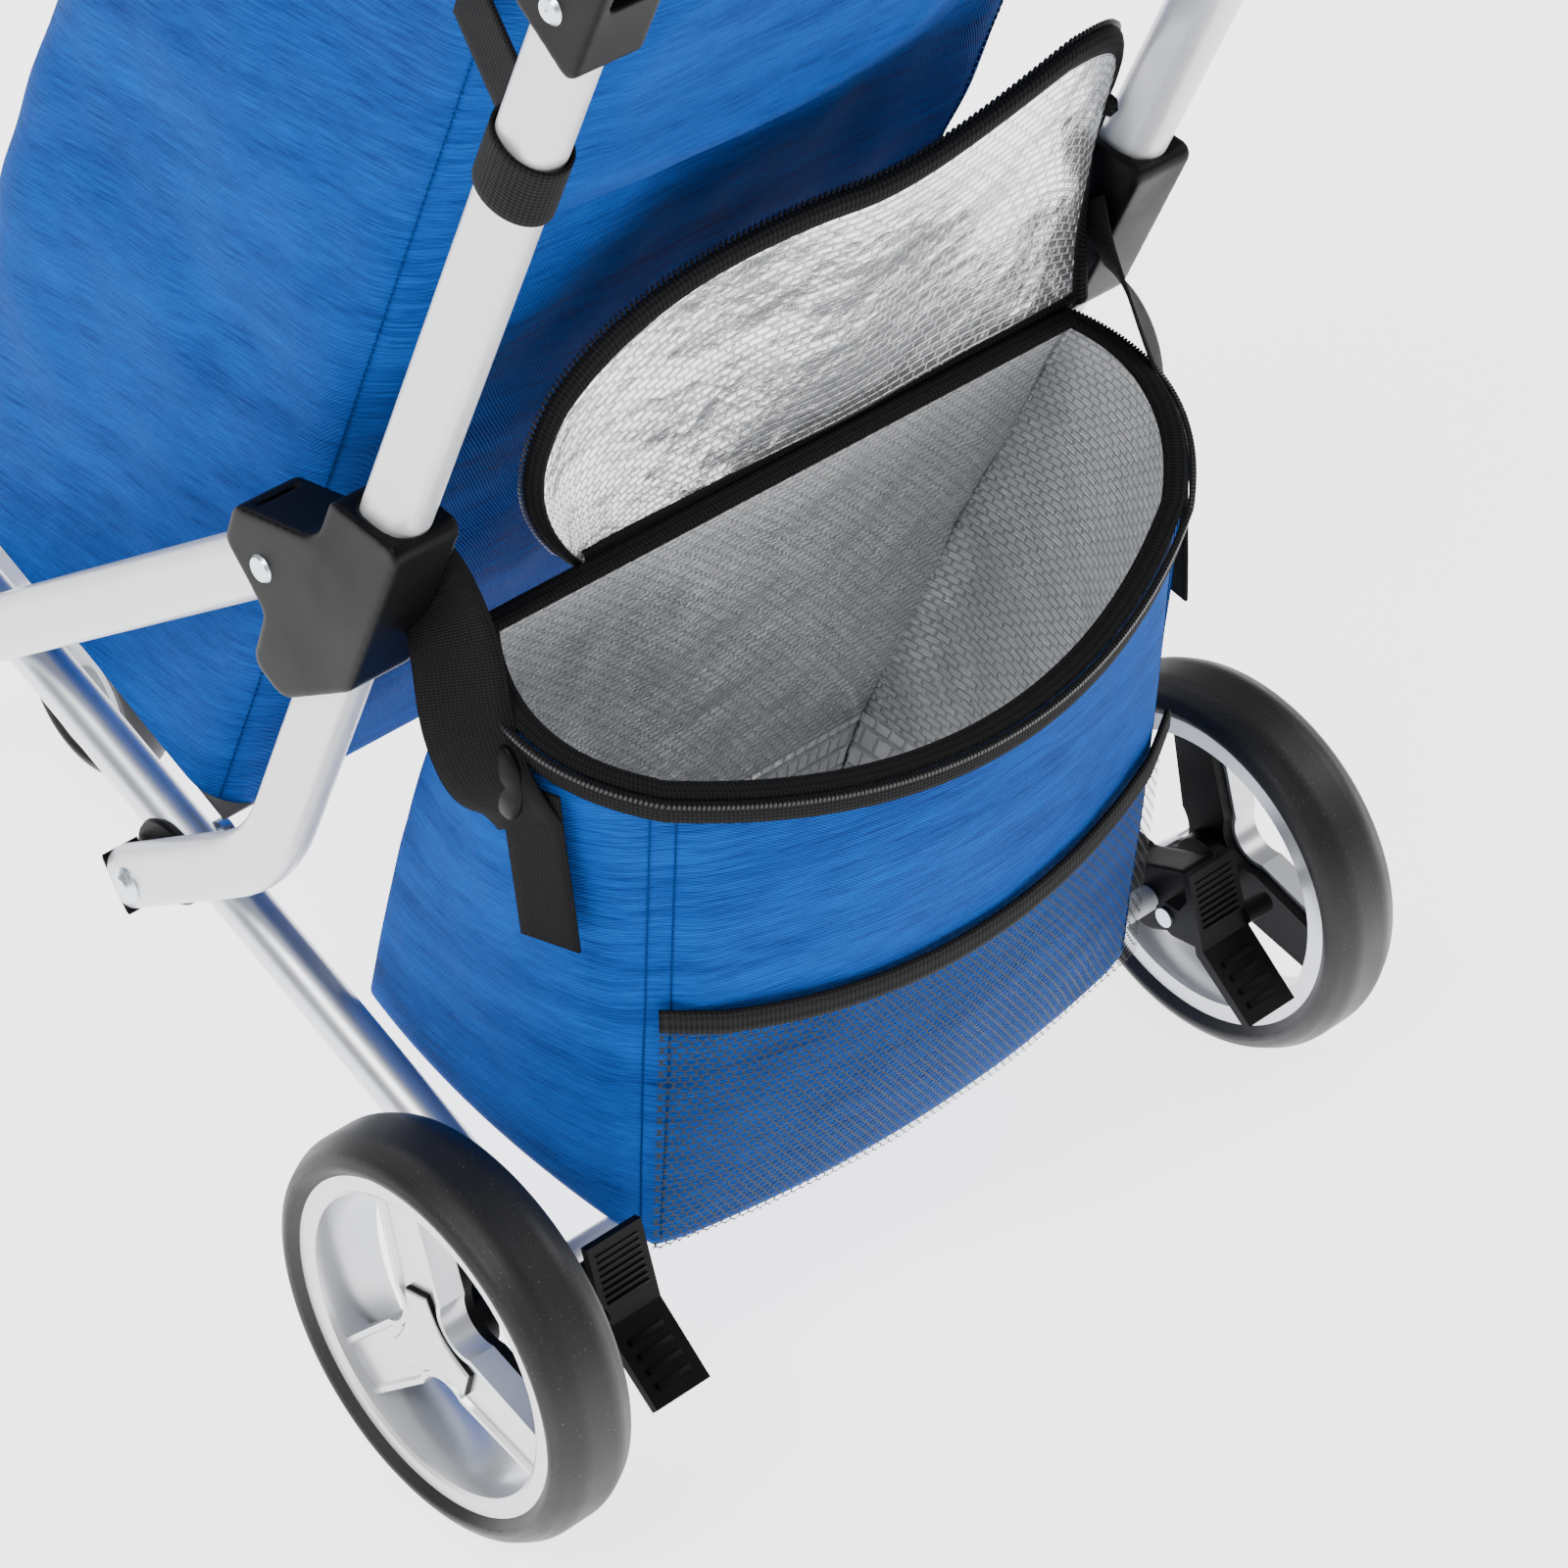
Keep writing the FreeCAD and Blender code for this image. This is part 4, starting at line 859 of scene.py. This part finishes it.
def net_skin(share, rise):
    at, out = tub(net_line(share), 0.02 + rise * (net_top(share) - 0.02), 0.0010)
    slack = 0.0045 * math.sin(math.pi * rise) * math.sin(math.pi * share) ** 0.5
    height = rise * net_top(share)
    puff = 0.004 * math.sin(math.pi * height)
    ends = min(1.0, share * 12, (1 - share) * 12)
    return at + out * (puff * ends + slack + wrinkle(at, 22.0, 0.0014, 4.0) + 0.0012)


panel("net_pocket", 120, 50, net_skin, net, "frame", "mesh_pocket", size=(0.30, 0.16))


def net_edge(share):
    at, out = tub(net_line(share), net_top(share), 0.0010)
    height = net_top(share)
    ends = min(1.0, share * 12, (1 - share) * 12)
    return at + out * (0.004 * math.sin(math.pi * height) * ends + 0.0030), out


panel("net_binding", 160, 14, hoop(net_edge, 0.0, 0.0, 0.0017, 0.0062), web, "frame",
      size=(0.30, 0.018))
for side, sign in SIDES:
    for number, shift in enumerate((-0.006, 0.006)):
        share = SEAM_SHARE + shift if sign > 0 else 1 - SEAM_SHARE - shift
        wall = tub_skin(-0.0005, 2.0, 0.0030)

        def seam(rise, share=share, wall=wall):
            at = wall(share, 0.18 + 0.80 * rise)
            return at, tub(share, rise)[1]
        stitches(f"cooler_seam_{side}_{number}", seam, 70, 0.0003, thread_blue, "frame")


# ---- Cooler lid --------------------------------------------------------------------------
# The D-shaped insulated lid, zipped open and leaning back against the main bag. Its inside
# is the same foil; its edge is bound and carries the other half of the zip.
HINGE = Vector((0, -0.130, 0.418))
LEAN_BACK = math.radians(114)


def lid_edge(share):
    """The lid's outline from its left hinge end round to the right, in the rim's plane."""
    x, y = d_plan((1 - 0.5 * BACK_SHARE) - share * (1 - BACK_SHARE), D_HIGH)
    return Vector((x, y - 0.180, RIM_LEVEL + RIM_SLOPE * y))


def lid_point(share, run, lift=0.0):
    """A point on the opened lid: a share of the way across and from hinge to edge.

    The panel is limp: its left side lies further over than its right, whose corner stands.
    """
    edge = lid_edge(share)
    corner = min(1.0, max(0.0, (share - 0.55) / 0.38))
    edge.y -= 0.085 * corner * corner * (3 - 2 * corner)
    half = D_HIGH[0]
    foot = Vector((-half + 2 * half * share, HINGE.y, HINGE.z))
    flat = foot.lerp(edge, run)
    turn = Matrix.Rotation(-LEAN_BACK - math.radians(24 - 44 * share), 3, "X")
    reach = flat - HINGE
    up = Vector((0, -math.sin(math.atan(RIM_SLOPE)), math.cos(math.atan(RIM_SLOPE))))
    away = (flat - foot).length
    reach *= 0.66 + 0.42 * share
    stand = turn @ (reach + up * (0.003 + lift))
    curl = 0.014 * math.sin(math.pi * share) * (away / 0.15) ** 2
    wave = wrinkle((flat.x * 12, away * 12, 0), 1.0, 0.0030, 6.0)
    return HINGE + stand + turn @ up * -(curl + wave * min(1.0, away / 0.02))


lid_film = foil("foil_lid", 0.88)
panel("lid_foil", 150, 60, lambda s, r: lid_point(s, 0.03 + 0.95 * r, -0.0022), lid_film,
      "cooler_lid", "cooler_lid", size=(0.40, 0.15))
panel("lid_cover", 120, 50, lambda s, r: lid_point(s, 0.02 + 0.97 * r, 0.0018), blue,
      "cooler_lid", size=(0.40, 0.15))


def lid_round(share):
    """Along the free edge, then down the standing right end: (across, run)."""
    return (min(1.0, share / 0.84), 1.0 - max(0.0, share - 0.84) / 0.16)


def lid_rim(share):
    across, run = lid_round(share)
    at = lid_point(across, run)
    inner = lid_point(across, 0.9) if share < 0.82 else lid_point(
        0.96, min(run, 0.9 + (share - 0.82)))
    return at, (at - inner).normalized()


def lid_hem(share, around):
    at, out = lid_rim(0.003 + 0.994 * share)
    across, run = lid_round(share)
    side = (lid_point(across, run, 0.004) - lid_point(across, run, 0.0)).normalized()
    angle = math.tau * around
    return at + out * (0.0062 * math.cos(angle) - 0.005) + side * 0.0042 * math.sin(angle)


panel("lid_binding", 300, 14, lid_hem, web, "cooler_lid", size=(0.55, 0.018))


def hinge_hem(share, around):
    at = lid_point(0.01 + 0.98 * share, 0.0)
    angle = math.tau * around
    return at + Vector((0, 0.0034 * math.cos(angle), 0.0040 * math.sin(angle) + 0.004))


panel("hinge_binding", 120, 12, hinge_hem, web, "cooler_lid", size=(0.33, 0.016))


def lid_zip(share):
    at, out = lid_rim(0.02 + 0.96 * share)
    across, run = lid_round(0.02 + 0.96 * share)
    side = (lid_point(across, run, 0.004) - lid_point(across, run, 0.0)).normalized()
    return at + side * 0.002, out


teeth("lid_zip_teeth", lid_zip, 200, 0.0018, 0.0, "cooler_lid")


# ---- Cooler straps -----------------------------------------------------------------------
# Black webbing from inside each hub, looped out and down to a snap on the cooler's side,
# with a cut tail hanging below it.
def strap(name, route, faces, wide=0.038, stands=()):
    """A flat band along a route; at each point its flat side faces the given way."""
    def place(run, across):
        at = along_path(route, run)
        ahead = along_path(route, min(1.0, run + 0.01))
        behind = along_path(route, max(0.0, run - 0.01))
        along = (ahead - behind).normalized()
        face = along_path(faces, run)
        width = along.cross(face).normalized()
        return at + width * (across - 0.5) * wide
    panel(name, 90, 6, place, web, "frame", *stands, size=(0.30, wide), thick=0.0016,
          side=0.0)


for side, sign in SIDES:
    route = [(sign * x, y, z) for x, y, z in (
        (0.1885, -0.118, 0.462), (0.1900, -0.130, 0.446), (0.1950, -0.146, 0.424),
        (0.2000, -0.158, 0.398), (0.1990, -0.168, 0.376), (0.1925, -0.176, 0.362),
        (0.1880, -0.181, 0.352))]
    faces = [(sign * x, y, z) for x, y, z in (
        (1.0, 0.1, 0.1), (1.0, -0.3, 0.2), (0.8, -0.6, 0.3), (0.7, -0.7, 0.2),
        (0.8, -0.6, 0.1), (1.0, -0.4, -0.2), (1.0, -0.2, 0.0))]
    strap("strap_" + side, route, faces, stands=("cooler_strap_" + side,))
    tail_route = [(sign * x, y, z) for x, y, z in (
        (0.1878, -0.181, 0.372), (0.1868, -0.183, 0.345), (0.1858, -0.186, 0.315),
        (0.1850, -0.188, 0.292))]
    strap("strap_tail_" + side, tail_route, [(sign, -0.25, 0.0)] * 4, wide=0.030)
    low, high = (Vector(corner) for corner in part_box("strap_snap_" + side))
    middle = (low + high) / 2
    snap = bmesh.new()
    bmesh.ops.create_uvsphere(snap, u_segments=32, v_segments=16, radius=1.0)
    bmesh.ops.scale(snap, vec=(0.0042, 0.0100, 0.0190), verts=snap.verts)
    for vert in snap.verts:
        vert.co.x *= 0.75 + 0.25 * min(1.0, abs(vert.co.z) / 0.004)
    bmesh.ops.translate(snap, vec=middle, verts=snap.verts)
    add_piece("snap_" + side, snap, nylon, "frame", "strap_snap_" + side)


# ---- Stage -------------------------------------------------------------------------------
# A pale floor, soft light from all round and the camera.
floor_mesh = bmesh.new()
bmesh.ops.create_grid(floor_mesh, x_segments=1, y_segments=1, size=8.0)
mesh = bpy.data.meshes.new("floor")
floor_mesh.to_mesh(mesh)
floor_mesh.free()
floor = bpy.data.objects.new("floor", mesh)
bpy.context.scene.collection.objects.link(floor)
pale = Finish("pale_floor", (0.95, 0.95, 0.95), 0.9)
pale.shader.inputs["Emission Color"].default_value = (1.0, 1.0, 1.0, 1.0)
pale.shader.inputs["Emission Strength"].default_value = 2.6
mesh.materials.append(pale.material)

world = bpy.data.worlds.new("studio")
world.use_nodes = True
world.node_tree.nodes["Background"].inputs["Color"].default_value = (1.0, 1.0, 1.0, 1.0)
world.node_tree.nodes["Background"].inputs["Strength"].default_value = 0.42
bpy.context.scene.world = world

for name, place, size, power in (("key", (-2.4, -0.6, 3.0), 1.4, 105.0),
                                 ("side", (2.6, -1.2, 2.2), 1.6, 45.0),
                                 ("back", (0.2, 2.6, 2.6), 2.0, 40.0)):
    lamp = bpy.data.lights.new(name, "AREA")
    lamp.size, lamp.energy = size, power
    light = bpy.data.objects.new(name, lamp)
    light.location = place
    light.rotation_euler = (Vector((0, 0, 0.4)) - Vector(place)).to_track_quat(
        "-Z", "Y").to_euler()
    bpy.context.scene.collection.objects.link(light)

lens = bpy.data.cameras.new("camera")
lens.lens, lens.sensor_width = 119.8, 36.0
lens.clip_end = 50.0
camera = bpy.data.objects.new("camera", lens)
camera.location = (-1.2424, -1.4759, 1.6915)
camera.rotation_euler = Vector((0.532, 0.576, -0.620)).to_track_quat("-Z", "Y").to_euler()
bpy.context.scene.collection.objects.link(camera)
bpy.context.scene.camera = camera
